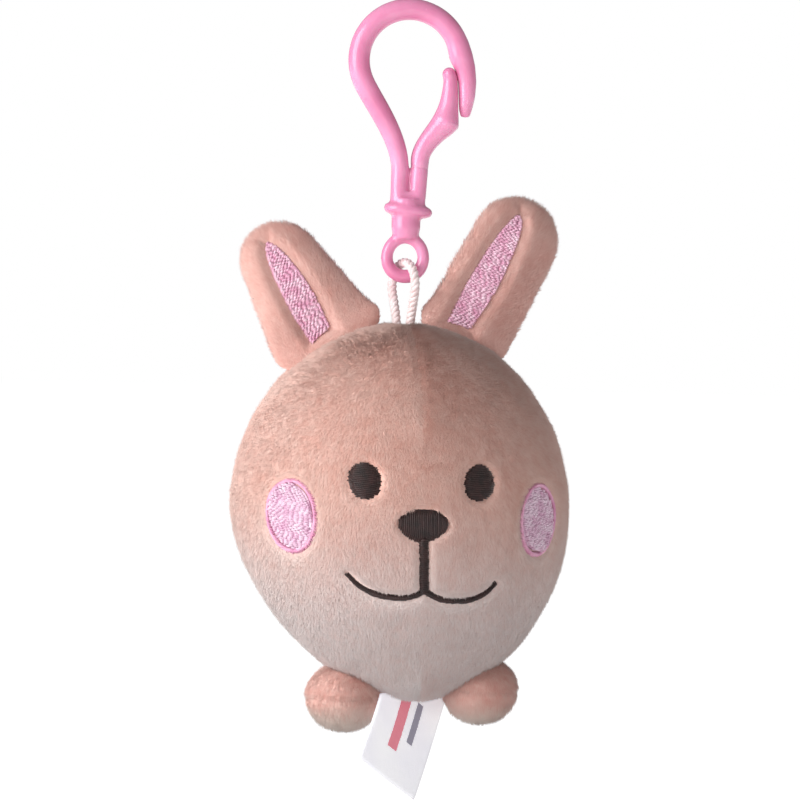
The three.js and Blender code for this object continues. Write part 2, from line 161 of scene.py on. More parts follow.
# %% [markdown]
# ## Small tools for making pieces
# A piece starts as a bmesh, is shaped in millimetres, and becomes an object that stays at the origin.
# A thread, a cord strand or a clip's bar is a curve with a round section, turned into a mesh.

# %% Piece tools
def made_piece(bm, name, finish):
    """A finished bmesh, shaped in millimetres, as an object in metres with its finish."""
    bmesh.ops.transform(bm, matrix=Matrix.Scale(MM, 4), verts=bm.verts)
    mesh = bpy.data.meshes.new(name)
    bm.to_mesh(mesh)
    bm.free()
    mesh.shade_smooth()
    mesh.materials.append(finish)
    made = bpy.data.objects.new(name, mesh)
    collection.objects.link(made)
    return made


def applied(thing):
    """The mesh that an object has once its curves and modifiers are worked out."""
    seen = thing.evaluated_get(bpy.context.evaluated_depsgraph_get())
    return bpy.data.meshes.new_from_object(seen)


def swept(name, runs, round_steps=1):
    """Round bars along runs of (point, radius), in millimetres, as one closed bmesh."""
    line = bpy.data.curves.new(name, "CURVE")
    line.dimensions = "3D"
    line.bevel_depth = 1.0
    line.bevel_resolution = round_steps
    line.use_fill_caps = True
    line.resolution_u = 1
    for run in runs:
        spline = line.splines.new("POLY")
        spline.points.add(len(run) - 1)
        for knot, (point, radius) in zip(spline.points, run):
            knot.co = (*point, 1)
            knot.radius = radius
    holder = bpy.data.objects.new(name, line)
    collection.objects.link(holder)
    mesh = applied(holder)
    bm = bmesh.new()
    bm.from_mesh(mesh)
    bpy.data.objects.remove(holder)
    bpy.data.curves.remove(line)
    bpy.data.meshes.remove(mesh)
    bmesh.ops.remove_doubles(bm, verts=bm.verts, dist=1e-4)
    bmesh.ops.recalc_face_normals(bm, faces=bm.faces)
    return bm


def smooth_route(knots, steps):
    """Points on a smooth curve through the knots, steps to each stretch."""
    knots = [Vector(k) for k in knots]
    ends = [knots[0] * 2 - knots[1], *knots, knots[-1] * 2 - knots[-2]]
    route = []
    for a, b, c, d in zip(ends, ends[1:], ends[2:], ends[3:]):
        for i in range(steps):
            t = i / steps
            route.append(0.5 * (
                2 * b + (c - a) * t + (2 * a - 5 * b + 4 * c - d) * t ** 2
                + (3 * b - 3 * c + d - a) * t ** 3
            ))
    return route + [knots[-1]]


def smoothstep(low, high, value):
    """0 below low, 1 above high, and a soft rise between them."""
    t = min(1, max(0, (value - low) / (high - low)))
    return t * t * (3 - 2 * t)


# %% [markdown]
# ## Finishes
# Every finish is a small node tree. A Value wraps one socket, so that shader arithmetic reads like
# plain Python, and one method of Finish adds any other node from its type, settings and inputs.

# %% Shader tools
class Value:
    """One number on its way through a node tree."""

    def __init__(self, tree, socket):
        self.tree = tree
        self.socket = socket

    def reckon(self, operation, first, second=None):
        math_node = self.tree.nodes.new("ShaderNodeMath")
        math_node.operation = operation
        for place, given in ((0, first), (1, second)):
            if isinstance(given, Value):
                self.tree.links.new(given.socket, math_node.inputs[place])
            elif given is not None:
                math_node.inputs[place].default_value = given
        return Value(self.tree, math_node.outputs[0])

    def __add__(self, other):
        return self.reckon("ADD", self, other)

    def __sub__(self, other):
        return self.reckon("SUBTRACT", self, other)

    def __mul__(self, other):
        return self.reckon("MULTIPLY", self, other)

    def __truediv__(self, other):
        return self.reckon("DIVIDE", self, other)

    def __rsub__(self, other):
        return self.reckon("SUBTRACT", other, self)

    def __gt__(self, other):
        return self.reckon("GREATER_THAN", self, other)

    def __mod__(self, other):
        return self.reckon("FLOORED_MODULO", self, other)

    def floor(self):
        return self.reckon("FLOOR", self)

    def size(self):
        return self.reckon("ABSOLUTE", self)

    def wave(self):
        return self.reckon("SINE", self)

    __radd__ = __add__
    __rmul__ = __mul__


class Nodes:
    """A node tree that is filled by one method."""

    def __init__(self, tree):
        self.tree = tree
        self.tree.nodes.clear()

    def add(self, kind, settings=(), inputs=()):
        node = self.tree.nodes.new(kind)
        for name, setting in dict(settings).items():
            setattr(node, name, setting)
        for name, given in dict(inputs).items():
            given = given.socket if isinstance(given, Value) else given
            if isinstance(given, bpy.types.NodeSocket):
                self.tree.links.new(given, node.inputs[name])
            else:
                node.inputs[name].default_value = given
        return node

    def value(self, socket):
        return Value(self.tree, socket)


class Finish(Nodes):
    """A material with its output, built round one Principled shader."""

    def __init__(self, name):
        self.material = bpy.data.materials.new(name)
        self.material.use_nodes = True
        super().__init__(self.material.node_tree)
        self.place = self.add("ShaderNodeTexCoord").outputs["Object"]

    def noise(self, scale, detail=2.0, where=None, stretch=None):
        where = where or self.place
        if stretch:
            where = self.add(
                "ShaderNodeVectorMath", {"operation": "MULTIPLY"}, {0: where, 1: stretch}
            ).outputs[0]
        node = self.add(
            "ShaderNodeTexNoise", {}, {"Vector": where, "Scale": scale, "Detail": detail}
        )
        return self.value(node.outputs["Fac"])

    def attribute(self, name):
        node = self.add("ShaderNodeAttribute", {"attribute_name": name})
        return self.value(node.outputs["Fac"])

    def axes(self, where=None):
        node = self.add("ShaderNodeSeparateXYZ", {}, {0: where or self.place})
        return [self.value(socket) for socket in node.outputs]

    def between(self, factor, first, second):
        """A colour part of the way from the first to the second."""
        mix = self.add(
            "ShaderNodeMix", {"data_type": "RGBA"}, {0: factor, 6: first, 7: second}
        )
        return mix.outputs[2]

    def eased(self, value, low, high):
        node = self.add(
            "ShaderNodeMapRange", {"interpolation_type": "SMOOTHSTEP"},
            {"Value": value, "From Min": low, "From Max": high},
        )
        return self.value(node.outputs[0])

    def bump(self, height, distance, strength=1.0):
        node = self.add(
            "ShaderNodeBump", {}, {"Height": height, "Distance": distance, "Strength": strength}
        )
        return node.outputs[0]

    def shade(self, inputs):
        shader = self.add("ShaderNodeBsdfPrincipled", {}, inputs)
        self.add("ShaderNodeOutputMaterial", {}, {"Surface": shader.outputs[0]})
        return self.material


def tone(code):
    """A paint-chart colour such as e3b3a7 as the linear light it stands for."""
    levels = [int(code[i : i + 2], 16) / 255 for i in (0, 2, 4)]
    linear = [c / 12.92 if c <= 0.04045 else ((c + 0.055) / 1.055) ** 2.4 for c in levels]
    return (*linear, 1.0)


# %% [markdown]
# The clip is moulded in a milky pink plastic. It is glossy, a little light passes into it, and the two
# halves of the mould leave a faint line along its middle.

# %% Plastic finish
def plastic_finish():
    look = Finish("clip_plastic")
    cloud = look.noise(90.0, 3.0)
    across, depth, height = look.axes()
    seam_line = 1 - look.eased(depth.size(), 0.00004, 0.00022)
    ripple = look.noise(1400.0, 2.0)
    colour = look.between(look.eased(cloud, 0.35, 0.7), tone("ec98be"), tone("dc80a8"))
    return look.shade({
        "Base Color": colour,
        "Roughness": 0.2 + ripple * 0.1,
        "Subsurface Weight": 0.25,
        "Subsurface Radius": (1.0, 0.45, 0.7),
        "Subsurface Scale": 0.0025,
        "Coat Weight": 0.35,
        "Coat Roughness": 0.12,
        "IOR": 1.5,
        "Normal": look.bump(seam_line * 0.5 + ripple * 0.12, 0.00012, 0.6),
    })


clip_plastic = plastic_finish()

# %% [markdown]
# The cord, the embroidery and the closing stitch are shiny rayon or nylon thread. Fine plies run along
# each thread. A narrow wave across the surface stands for them, and sheen gives the soft glance of fibre.

# %% Thread finishes
def thread_finish(name, light, deep, roughness, ply=0.00028, sheen=0.3):
    look = Finish(name)
    across, depth, height = look.axes()
    plies = ((across + height * 0.8 + depth * 0.6) * (2 * pi / ply)).wave()
    patchy = look.noise(700.0, 3.0)
    fine = look.noise(5200.0, 2.0)
    colour = look.between(look.eased(patchy + fine * 0.3, 0.35, 0.9), light, deep)
    return look.shade({
        "Base Color": colour,
        "Roughness": roughness + fine * 0.12,
        "Sheen Weight": sheen,
        "Sheen Roughness": 0.35,
        "Normal": look.bump(plies * 0.3 + fine * 0.4, 0.00006, 0.5),
    })


cord_nylon = thread_finish("cord_nylon", tone("fbf3f3"), tone("ecd3d2"), 0.35, 0.00022)
pink_thread = thread_finish("pink_thread", tone("fbdbe9"), tone("e2a0be"), 0.28)
rim_thread = thread_finish("rim_thread", tone("f3bcd6"), tone("db8fb5"), 0.3)
lilac_thread = thread_finish("lilac_thread", tone("f3dcea"), tone("d8a6c3"), 0.28)
dark_thread = thread_finish("dark_thread", tone("3a1e1c"), tone("1c0c0a"), 0.45)
peach_thread = thread_finish("peach_thread", tone("e8b9aa"), tone("c98f80"), 0.5)

# %% [markdown]
# The fur is a short velvety pile. The knitted ground shows between the fibres as a deeper, matt
# version of the same colour. Each fibre has its own tint, kept as a number on the fibre. The colour also
# drifts slowly over the toy, because the pile leans this way and that.

# %% Fur finishes
PALE_SHARE = 0.6


def fur_finish(name, light, deep, pale, pale_from, pale_to, ground=False):
    """Pile that is paler between two heights, given in millimetres."""
    look = Finish(name)
    across, depth, height = look.axes()
    drift = look.noise(120.0, 2.0)
    paler = look.eased(height, pale_from * MM, pale_to * MM)
    if ground:
        tint = look.noise(1500.0, 3.0)
    else:
        tint = look.attribute("tint")
    base = look.between(look.eased(tint * 0.75 + drift * 0.5, 0.2, 1.0), deep, light)
    pale_deep = look.between(PALE_SHARE, deep, pale)
    colour = look.between(paler * 0.9, base, look.between(tint, pale_deep, pale))
    inputs = {
        "Base Color": colour,
        "Roughness": 0.82,
        "Sheen Weight": 0.35,
        "Sheen Roughness": 0.45,
    }
    if ground:
        knit = look.noise(2600.0, 3.0)
        inputs["Normal"] = look.bump(knit, 0.0002, 0.7)
    return look.shade(inputs)


FUR_LIGHT = tone("f9d1c4")
FUR_DEEP = tone("eab0a0")
FUR_PALE = tone("f4eae8")
body_fur = fur_finish("body_fur", FUR_LIGHT, FUR_DEEP, FUR_PALE, -84, -114)
body_ground = fur_finish("body_ground", FUR_LIGHT, FUR_DEEP, FUR_PALE, -84, -114, ground=True)
EAR_LIGHT = tone("f2c6bb")
EAR_DEEP = tone("e2a599")
ear_fur = fur_finish("ear_fur", EAR_LIGHT, EAR_DEEP, EAR_LIGHT, -90, -100)
ear_ground = fur_finish("ear_ground", EAR_LIGHT, EAR_DEEP, EAR_LIGHT, -90, -100, ground=True)
FOOT_LIGHT = tone("fccfc3")
FOOT_DEEP = tone("f0ab9d")
FOOT_PALE = tone("f6e6d9")
foot_fur = fur_finish("foot_fur", FOOT_LIGHT, FOOT_DEEP, FOOT_PALE, -125, -131)
foot_ground = fur_finish("foot_ground", FOOT_LIGHT, FOOT_DEEP, FOOT_PALE, -125, -131, ground=True)

# %% [markdown]
# The tag is white satin ribbon, woven with very fine ribs. In place of a maker's print it carries two
# plain stripes. They follow the ribbon's own flat measure, which a map on the mesh keeps in millimetres.

# %% Ribbon and filling finishes
RIBBON_GLOW = 0.38  # painted light: the ribbon glows, standing in for light that comes through the thin ribbon


def ribbon_finish():
    look = Finish("tag_satin")
    flat = look.add("ShaderNodeUVMap", {"uv_map": "ribbon"}).outputs[0]
    across, along = look.axes(flat)[:2]
    rib = (along * (2 * pi / 0.00026)).wave()
    cross = (across * (2 * pi / 0.0003)).wave()
    fuzz = look.noise(2500.0, 2.0) * 0.00035

    def stripe(middle, half, start, end):
        wide = look.eased((across + fuzz - middle).size(), half + 0.0001, half - 0.0001)
        first = look.eased(along + fuzz, start - 0.0001, start + 0.0001)
        last = look.eased(along + fuzz, end + 0.0001, end - 0.0001)
        return wide * first * last

    cloud = look.noise(160.0, 2.0)
    cloth = look.between(cloud, tone("ffffff"), tone("ecebf6"))
    one = look.between(stripe(-0.0012, 0.0013, -0.019, -0.0055), cloth, tone("dc8190"))
    two = look.between(stripe(0.0026, 0.0008, -0.017, -0.0085), one, tone("8d8a99"))
    return look.shade({
        "Base Color": two,
        "Roughness": 0.4 + cloud * 0.12,
        "Sheen Weight": 0.25,
        "Sheen Roughness": 0.3,
        # painted light: a faint glow in the ribbon's own colours stands in for light shining through it
        "Emission Color": two,
        "Emission Strength": RIBBON_GLOW,
        "Normal": look.bump(rib * 0.5 + cross * 0.25, 0.00003, 0.6),
    })


def filling_finish():
    look = Finish("filling_fibre")
    fluff = look.noise(500.0, 4.0)
    return look.shade({
        "Base Color": look.between(fluff, tone("ffffff"), tone("dcdcda")),
        "Roughness": 0.95,
        "Normal": look.bump(fluff, 0.0006, 0.8),
    })


tag_satin = ribbon_finish()
filling_fibre = filling_finish()
print("finishes:", len(bpy.data.materials))

# %% [markdown]
# ## The floor
# A plain white floor lies a little below the hanging toy. Farther off it glows, so that it stays white
# to the edge of the view. Near the toy it doesn't, or the chin would be lit from below.

# %% Floor
FLOOR_Z = -162.0
FLOOR_HALF = 4000.0
FLOOR_GLOW_NEAR = 0.18
FLOOR_GLOW_FAR = 0.21
FLOOR_GLOW = 0.76
floor_look = Finish("studio_floor")
span = floor_look.add("ShaderNodeVectorMath", {"operation": "LENGTH"}, {0: floor_look.place})
far_off = floor_look.eased(floor_look.value(span.outputs["Value"]), FLOOR_GLOW_NEAR, FLOOR_GLOW_FAR)
floor_white = floor_look.shade({
    "Base Color": tone("f4f3f3"),
    "Roughness": 0.9,
    "Emission Color": floor_look.between(far_off, (0, 0, 0, 1), (FLOOR_GLOW,) * 3 + (1,)),
    "Emission Strength": 1.0,
})
bm = bmesh.new()
bmesh.ops.create_grid(bm, x_segments=1, y_segments=1, size=FLOOR_HALF)
bmesh.ops.translate(bm, vec=(0, 0, FLOOR_Z), verts=bm.verts)
floor = made_piece(bm, "floor", floor_white)
floor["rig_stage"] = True

# %% [markdown]
# ## The cord
# A loop of three twisted nylon strands passes through the clip's eye, and both its ends go into the
# crown. Each strand is a curve wound round one centreline.

# %% Cord
CORD_ROUTE = [
    (-1.15, 0.1, -60.4), (-1.15, 0.2, -58.6), (-1.2, 0.6, -56.6), (-1.35, 1.3, -54.4),
    (-1.6, 2.3, -52.0), (-1.8, 3.2, -50.0), (-1.7, 3.55, -48.2), (-1.3, 2.9, -46.4),
    (-0.7, 1.6, -45.3), (0.0, 0.0, -44.95), (0.6, -1.6, -45.3), (1.1, -2.9, -46.4),
    (1.4, -3.55, -48.2), (1.45, -3.2, -50.0), (1.4, -2.3, -52.0), (1.25, -1.3, -54.4),
    (1.15, -0.6, -56.6), (1.15, -0.2, -58.6), (1.15, -0.1, -60.4),
]
CORD_R = 0.9
STRAND_R = 0.47
STRAND_TWIST = 3.1  # mm along the cord for one turn


def wound(route, offset, twist, start_angle):
    """The route moved aside by offset, turning once in each twist millimetres."""
    side = Vector((0, 1, 0))
    travelled = 0.0
    before = route[0]
    heading = (route[1] - route[0]).normalized()
    side = (side - side.dot(heading) * heading).normalized()
    points = []
    for here, after in zip(route, [*route[1:], route[-1] * 2 - route[-2]]):
        new_heading = (after - here).normalized()
        side.rotate(heading.rotation_difference(new_heading))
        heading = new_heading
        travelled += (here - before).length
        before = here
        angle = start_angle + 2 * pi * travelled / twist
        points.append(here + (side * cos(angle) + heading.cross(side) * sin(angle)) * offset)
    return points


cord_route = smooth_route(CORD_ROUTE, 8)
cord_length = sum((b - a).length for a, b in zip(cord_route, cord_route[1:]))
strands = [
    [(p, STRAND_R) for p in wound(cord_route, CORD_R - STRAND_R, STRAND_TWIST, turn * 2 * pi / 3)]
    for turn in range(3)
]
cord_piece = made_piece(swept("cord", strands, 2), "cord_strands", cord_nylon)
[p * MM for p in cord_route]
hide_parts("cord_loop")
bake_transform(cord_piece)
print("cord in mm:", round(cord_length, 1), "triangles:", len(cord_piece.data.polygons) * 2)

# %% [markdown]
# ## The clip
# The clip is moulded in one shot: a round-sectioned hook, a springy gate, a collar with two side wings,
# a short stem and an eye for the cord. Round bars that follow the middle of each part are laid
# into one another, and a voxel remesh fuses them into one skin. Smoothing then rounds the inner corners
# the way a mould does. The gate stays its own piece, because it flexes at its root.

# %% Hook, collar, stem and eye
LOOP_Z = -7.5
LOOP_MIDDLE_R = 9.525
LOOP_BAR_R = 2.03
LEG_ANGLE = 205
LIP_ANGLE = 25
EYE_Z = -44.1
EYE_R = 3.43
EYE_BAR_R = 1.14
CLIP_VOXEL = 0.24


def on_loop(angle, radius):
    return Vector((radius * cos(radians(angle)), 0, LOOP_Z + radius * sin(radians(angle))))


def bent(a, b, c, d, t):
    """A point on the curve from a to d that leaves toward b and arrives from c."""
    return (1 - t) ** 3 * a + 3 * (1 - t) ** 2 * t * b + 3 * (1 - t) * t * t * c + t ** 3 * d


def flat(x, z):
    return Vector((x, 0, z))


def bar_between(inner, outer, steps):
    """Middle points and half widths of the bar between two bent edges."""
    run = []
    for i in range(steps + 1):
        one = bent(*inner, i / steps)
        two = bent(*outer, i / steps)
        run.append(((one + two) / 2, (one - two).length / 2))
    return run


leg_run = bar_between(
    (flat(0.3, -27.6), flat(0.2, -20.5), flat(-5, -14.5), on_loop(LEG_ANGLE, 7.5)),
    (flat(-3, -28), flat(-3.1, -22.5), flat(-9, -15.65), on_loop(LEG_ANGLE, 11.55)), 16,
)
loop_run = [
    (on_loop(LEG_ANGLE - 5 * i, LOOP_MIDDLE_R), LOOP_BAR_R)
    for i in range(1, (LEG_ANGLE - LIP_ANGLE) // 5)
]
lip_edges = [
    (-4.2, 6.85, 11.05), (-6.4, 7.35, 11.85), (-8.6, 8.5, 12.4), (-11.2, 9.15, 12.65),
    (-14.0, 9.3, 12.45), (-16.2, 9.4, 11.95), (-17.7, 9.8, 11.5),
]
lip_run = [(flat((a + b) / 2, z), (b - a) / 2) for z, a, b in lip_edges]
root_left = [(flat(-1.4, -34.6), 1.75), (flat(-1.42, -31.5), 1.64), (flat(-1.45, -29.0), 1.6)]
hook_run = [*root_left, *leg_run, *loop_run, *lip_run]
root_right = [
    (flat(1.75, -34.6), 1.72), (flat(2.05, -31.5), 1.66), (flat(2.25, -27.6), 1.68),
    (flat(2.33, -26.2), 1.45),
]
eye_run = [
    (flat(EYE_R * sin(a * pi / 24), EYE_Z + EYE_R * cos(a * pi / 24) * (1.0 if 12 < a < 36 else 1.1)),
     EYE_BAR_R + 0.16 * smoothstep(0, 1, -cos(a * pi / 24)))
    for a in range(0, 49)
]
stem_run = [(flat(0, -33.0), 2.72), (flat(0, -38.6), 2.72), (flat(0, -40.6), 2.3)]
nub_run = [(flat(-0.3, 3.6), 1.0), (flat(-0.3, 4.25), 0.95)]
bm = swept("hook", [hook_run, root_right, eye_run, stem_run, nub_run], 6)
wings = bmesh.ops.create_uvsphere(bm, u_segments=48, v_segments=24, radius=1.0)["verts"]
for v in wings:
    v.co.x = 0.35 + v.co.x * 4.55
    v.co.y *= 3.1
    v.co.z = -35.2 - 0.1 * v.co.x + 1.45 * (1 if v.co.z > 0 else -1) * abs(v.co.z) ** 0.7
between_legs = bmesh.ops.create_cube(bm, size=1.0)["verts"]
bmesh.ops.scale(bm, vec=(3.2, 3.0, 3.2), verts=between_legs)
bmesh.ops.translate(bm, vec=(0.3, 0, -33.4), verts=between_legs)


def fused(bm, voxel):
    """Closed shapes that overlap, as one skin of small even faces."""
    rough = bpy.data.meshes.new("rough")
    bm.to_mesh(rough)
    bm.free()
    holder = bpy.data.objects.new("rough", rough)
    collection.objects.link(holder)
    remesh = holder.modifiers.new("fuse", "REMESH")
    remesh.mode = "VOXEL"
    remesh.voxel_size = voxel
    result = applied(holder)
    whole = bmesh.new()
    whole.from_mesh(result)
    bpy.data.objects.remove(holder)
    bpy.data.meshes.remove(rough)
    bpy.data.meshes.remove(result)
    return whole


def relaxed(bm, rounds, strength=0.5, verts=None):
    """Corners and steps softened in place."""
    for _ in range(rounds):
        bmesh.ops.smooth_vert(
            bm, verts=verts or bm.verts, factor=strength,
            use_axis_x=True, use_axis_y=True, use_axis_z=True,
        )
    return bm


hook_piece = made_piece(relaxed(fused(bm, CLIP_VOXEL), 7), "clip_body", clip_plastic)
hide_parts("clip_hook")
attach(hook_piece, "clip")
print("clip triangles:", len(hook_piece.data.polygons) * 2)

# %% Gate
gate_run = [(flat(2.35, -28.6), 1.45), (flat(2.3, -26.6), 1.72)]
gate_run += bar_between(
    (flat(0.6, -25.5), flat(0.9, -23.2), flat(3.2, -20.6), flat(4.4, -18.4)),
    (flat(4.1, -25.5), flat(4.6, -23.0), flat(7.0, -20.9), flat(9.7, -18.9)), 10,
)
gate_run += bar_between(
    (flat(4.75, -17.6), flat(5.8, -15.9), flat(6.3, -14.0), flat(6.4, -11.2)),
    (flat(9.5, -17.8), flat(9.3, -15.6), flat(9.25, -12.6), flat(9.1, -11.0)), 8,
)
gate_run += [(flat(7.65, -10.2), 1.36), (flat(7.6, -9.4), 1.1)]
bm = swept("gate", [gate_run], 6)
tip = bmesh.ops.create_icosphere(bm, subdivisions=3, radius=1.0)["verts"]
for v in tip:
    v.co = Vector((7.45 + v.co.x * 1.3, v.co.y * 1.55, -9.75 + v.co.z * 1.35))
gate_piece = made_piece(relaxed(fused(bm, CLIP_VOXEL), 6), "clip_gate_arm", clip_plastic)
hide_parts("clip_gate")
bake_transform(gate_piece)
print("gate triangles:", len(gate_piece.data.polygons) * 2)

# %% [markdown]
# ## The stuffed body
# The body is sewn from a face panel and two back panels, with a dart at the forehead and one at the
# chin, and then stuffed. An even ball of small triangles is moved to the measured form. Then its panels
# are blown up like a cushion by a short cloth simulation, while the seams hold still, so the
# seams sink in as they do on the real thing. Narrow seam lines are pressed in after that.

# %% Body form
BODY_Z = -91.0
BODY_R = 31.6
BODY_RISE = 35.0
BODY_DROP = 35.7
BODY_DEPTH_RATIO = 0.95
UNDERSIDE_POWER = 1.75
PILE_HEIGHT = 0.75
SLACK = 0.4
SKIN_LIFT = 0.1
DART_GAP = 10.0  # puts the cheeks' and mouth's height out of the darts' reach


def sway(z):
    """How far the drooping underside sits to one side at a height."""
    return 3.5 * max(0.0, (BODY_Z - z) / BODY_DROP) ** 1.2


def body_point(direction, inset):
    power = 1.0 if direction.z > 0 else 2 / UNDERSIDE_POWER
    level = min(1.0, abs(direction.z))
    reach = (BODY_R - inset) * (1 - level ** 2) ** (power / 2)
    rise = ((BODY_RISE if direction.z > 0 else BODY_DROP) - inset) * level ** power
    z = BODY_Z + (rise if direction.z > 0 else -rise)
    angle = atan2(direction.y, direction.x)
    return Vector((reach * cos(angle) + sway(z), BODY_DEPTH_RATIO * reach * sin(angle), z))


def seam_distance(p):
    """Distance in millimetres to the nearest sewn line of the body."""
    side = abs(p.y)
    centre = abs(p.x - sway(p.z))
    if p.y > 0:
        return min(side, centre)
    dart = centre + DART_GAP * smoothstep(-74, -79, p.z) * smoothstep(-122, -117, p.z)
    return min(side, dart)


bm = bmesh.new()
bmesh.ops.create_icosphere(bm, subdivisions=6, radius=1.0)
for v in bm.verts:
    full = body_point(v.co.normalized(), PILE_HEIGHT)
    slack = SLACK * smoothstep(0, 9, seam_distance(full))
    v.co = body_point(v.co.normalized(), PILE_HEIGHT - SKIN_LIFT + slack)

# %% Stuffing by cloth simulation
STUFFING_SCALE = 0.01  # the toy is blown up ten times larger than life, where cloth behaves
STUFFING_PRESSURE = 10.0
STUFFING_STRETCH = 2.0  # a soft knit gives easily
STUFFING_FRAMES = 20
STUFFING_CAP = 1.3


def stuffed(bm, held, cap):
    """The panels swollen by pressure, no point moving more than cap millimetres."""
    before = [v.co.copy() for v in bm.verts]
    bmesh.ops.scale(bm, vec=(STUFFING_SCALE,) * 3, verts=bm.verts)
    mesh = bpy.data.meshes.new("stuffing")
    bm.to_mesh(mesh)
    bm.free()
    holder = bpy.data.objects.new("stuffing", mesh)
    collection.objects.link(holder)
    seams = holder.vertex_groups.new(name="seams")
    for index, point in enumerate(before):
        weight = held(point)
        if weight > 0:
            seams.add([index], weight, "REPLACE")
    cloth = holder.modifiers.new("stuffing", "CLOTH")
    cloth.settings.quality = 5
    cloth.settings.use_pressure = True
    cloth.settings.uniform_pressure_force = STUFFING_PRESSURE
    cloth.settings.tension_stiffness = STUFFING_STRETCH
    cloth.settings.compression_stiffness = STUFFING_STRETCH
    cloth.settings.shear_stiffness = STUFFING_STRETCH / 2
    cloth.settings.vertex_group_mass = "seams"
    cloth.settings.effector_weights.gravity = 0
    cloth.collision_settings.use_collision = False
    cloth.point_cache.frame_start = 1
    cloth.point_cache.frame_end = STUFFING_FRAMES
    for frame_number in range(1, STUFFING_FRAMES + 1):
        scene.frame_set(frame_number)
    result = applied(holder)
    whole = bmesh.new()
    whole.from_mesh(result)
    bpy.data.objects.remove(holder)
    bpy.data.meshes.remove(mesh)
    bpy.data.meshes.remove(result)
    scene.frame_set(1)
    largest = 0.0
    for v, start in zip(whole.verts, before):
        move = v.co / STUFFING_SCALE - start
        largest = max(largest, move.length)
        if move.length > cap:
            move *= cap / move.length
        v.co = start + move
    print("largest swelling in mm:", round(largest, 2), "kept to", cap)
    return whole


def held_by_seam(point):
    return 1.0 if seam_distance(point) < 0.9 else 0.0


bm = stuffed(bm, held_by_seam, STUFFING_CAP)
bmesh.ops.subdivide_edges(bm, edges=bm.edges, cuts=1, use_grid_fill=True)
relaxed(bm, 1)
bm.normal_update()
print("body half depth in mm:", round(max(v.co.y for v in bm.verts), 2))

# %% [markdown]
# ## Where the embroidery goes
# Eyes, nose, mouth and cheeks are stitched through the pile and pull the fabric in a little. The
# outlines are set down once, in flat measures, and serve the pressed-in ground, the gaps in the pile and
# the threads alike. Each outline lies on a Ground: a skin looked at straight on from one side.

# %% Outlines of the embroidery
EYE_X = 10.4
EYE_SPOT_Z = -84.4
EYE_HALF = (2.9, 3.2)
NOSE_Z = -91.9
NOSE_SHAPE = [
    (2.7, 1.2), (2.4, 2.8), (1.1, 4.2), (0.0, 4.6), (-1.1, 4.1), (-2.1, 3.0), (-2.8, 1.9), (-3.3, 0.9),
]
PHILTRUM = (-94.4, -104.2)
PHILTRUM_HALF = 0.8
MOUTH_HALF_LINE = [
    (0.0, -104.0), (1.4, -104.8), (3.4, -105.5), (6.0, -105.6), (8.8, -105.2), (11.6, -103.9),
    (13.6, -101.9),
]
MOUTH_TILT = 0.045  # the right corner is sewn a little lower
MOUTH_STROKE = 0.95
CHEEK_ANGLE = 50.5
CHEEK_Z = -91.3
CHEEK_HALF = (5.1, 5.8)
OUTLINE_GAP = 0.5


class Ground:
    """A skin seen along one direction, on which flat measures are laid."""

    def __init__(self, tree, origin, across, up):
        self.tree = tree
        self.origin = Vector(origin)
        self.across = Vector(across)
        self.up = Vector(up)
        self.inward = self.up.cross(self.across)

    def lay(self, u, v, lift=0.0):
        start = self.origin + self.across * u + self.up * v - self.inward * 60
        place, normal, face, distance = self.tree.ray_cast(start, self.inward)
        if place is None:
            raise ValueError(f"nothing to stitch on at {u:.1f}, {v:.1f}")
        return place + normal * lift

    def flat_place(self, point):
        """The flat measures of a point, and whether it is on the near side."""
        away = point - self.origin
        return away.dot(self.across), away.dot(self.up), away.dot(self.inward) < 0


def width_from(shape, v):
    """Half width at height v of an outline given as (height, half width) from the top down."""
    for (high, wide), (low, narrow) in zip(shape, shape[1:]):
        if low <= v <= high:
            return wide + (narrow - wide) * (high - v) / (high - low)
    return 0.0


def oval_gap(u, v, half):
    return (hypot(u / half[0], v / half[1]) - 1) * min(half)


def line_gap(u, v, line):
    """Distance from a flat point to a line of flat points."""
    nearest = 1e9
    for (ax, az), (bx, bz) in zip(line, line[1:]):
        length = (bx - ax) ** 2 + (bz - az) ** 2
        t = min(1, max(0, ((u - ax) * (bx - ax) + (v - az) * (bz - az)) / length))
        nearest = min(nearest, hypot(u - ax - t * (bx - ax), v - az - t * (bz - az)))
    return nearest


half_mouth = smooth_route([(x, z, 0) for x, z in MOUTH_HALF_LINE], 3)
mouth_line = [(sway(p.y) - p.x, p.y + MOUTH_TILT * p.x) for p in reversed(half_mouth)]
mouth_line += [(sway(p.y) + p.x, p.y - MOUTH_TILT * p.x) for p in half_mouth[1:]]


def face_gap(u, v):
    """Distance on the face from a flat point to the nearest stitching."""
    if abs(u) > 18 or not -112 < v < -78:
        return 9.0
    gaps = [oval_gap(abs(u) - EYE_X, v - EYE_SPOT_Z, EYE_HALF)]
    nose_width = max(0.3, width_from(NOSE_SHAPE, min(2.7, max(-3.3, v - NOSE_Z))))
    above = max(0.0, v - NOSE_Z - 2.7, NOSE_Z - 3.3 - v)
    gaps.append(max(abs(u) - nose_width, above))
    centre = sway(v) * 0.9
    beyond = max(0.0, PHILTRUM[1] - v, v - PHILTRUM[0])
    gaps.append(max(abs(u - centre) - PHILTRUM_HALF, beyond))
    gaps.append(line_gap(u, v, mouth_line) - MOUTH_STROKE / 2)
    return min(gaps)


def cheek_gap(u, v):
    grown = (CHEEK_HALF[0] + OUTLINE_GAP + 0.3, CHEEK_HALF[1] + OUTLINE_GAP + 0.3)
    return oval_gap(u, v - CHEEK_Z, grown)


def round_ground(tree, angle):
    """The body seen from the front, turned by an angle about the upright."""
    turn = radians(angle)
    return Ground(tree, (0, 0, 0), (cos(turn), sin(turn), 0), (0, 0, 1))


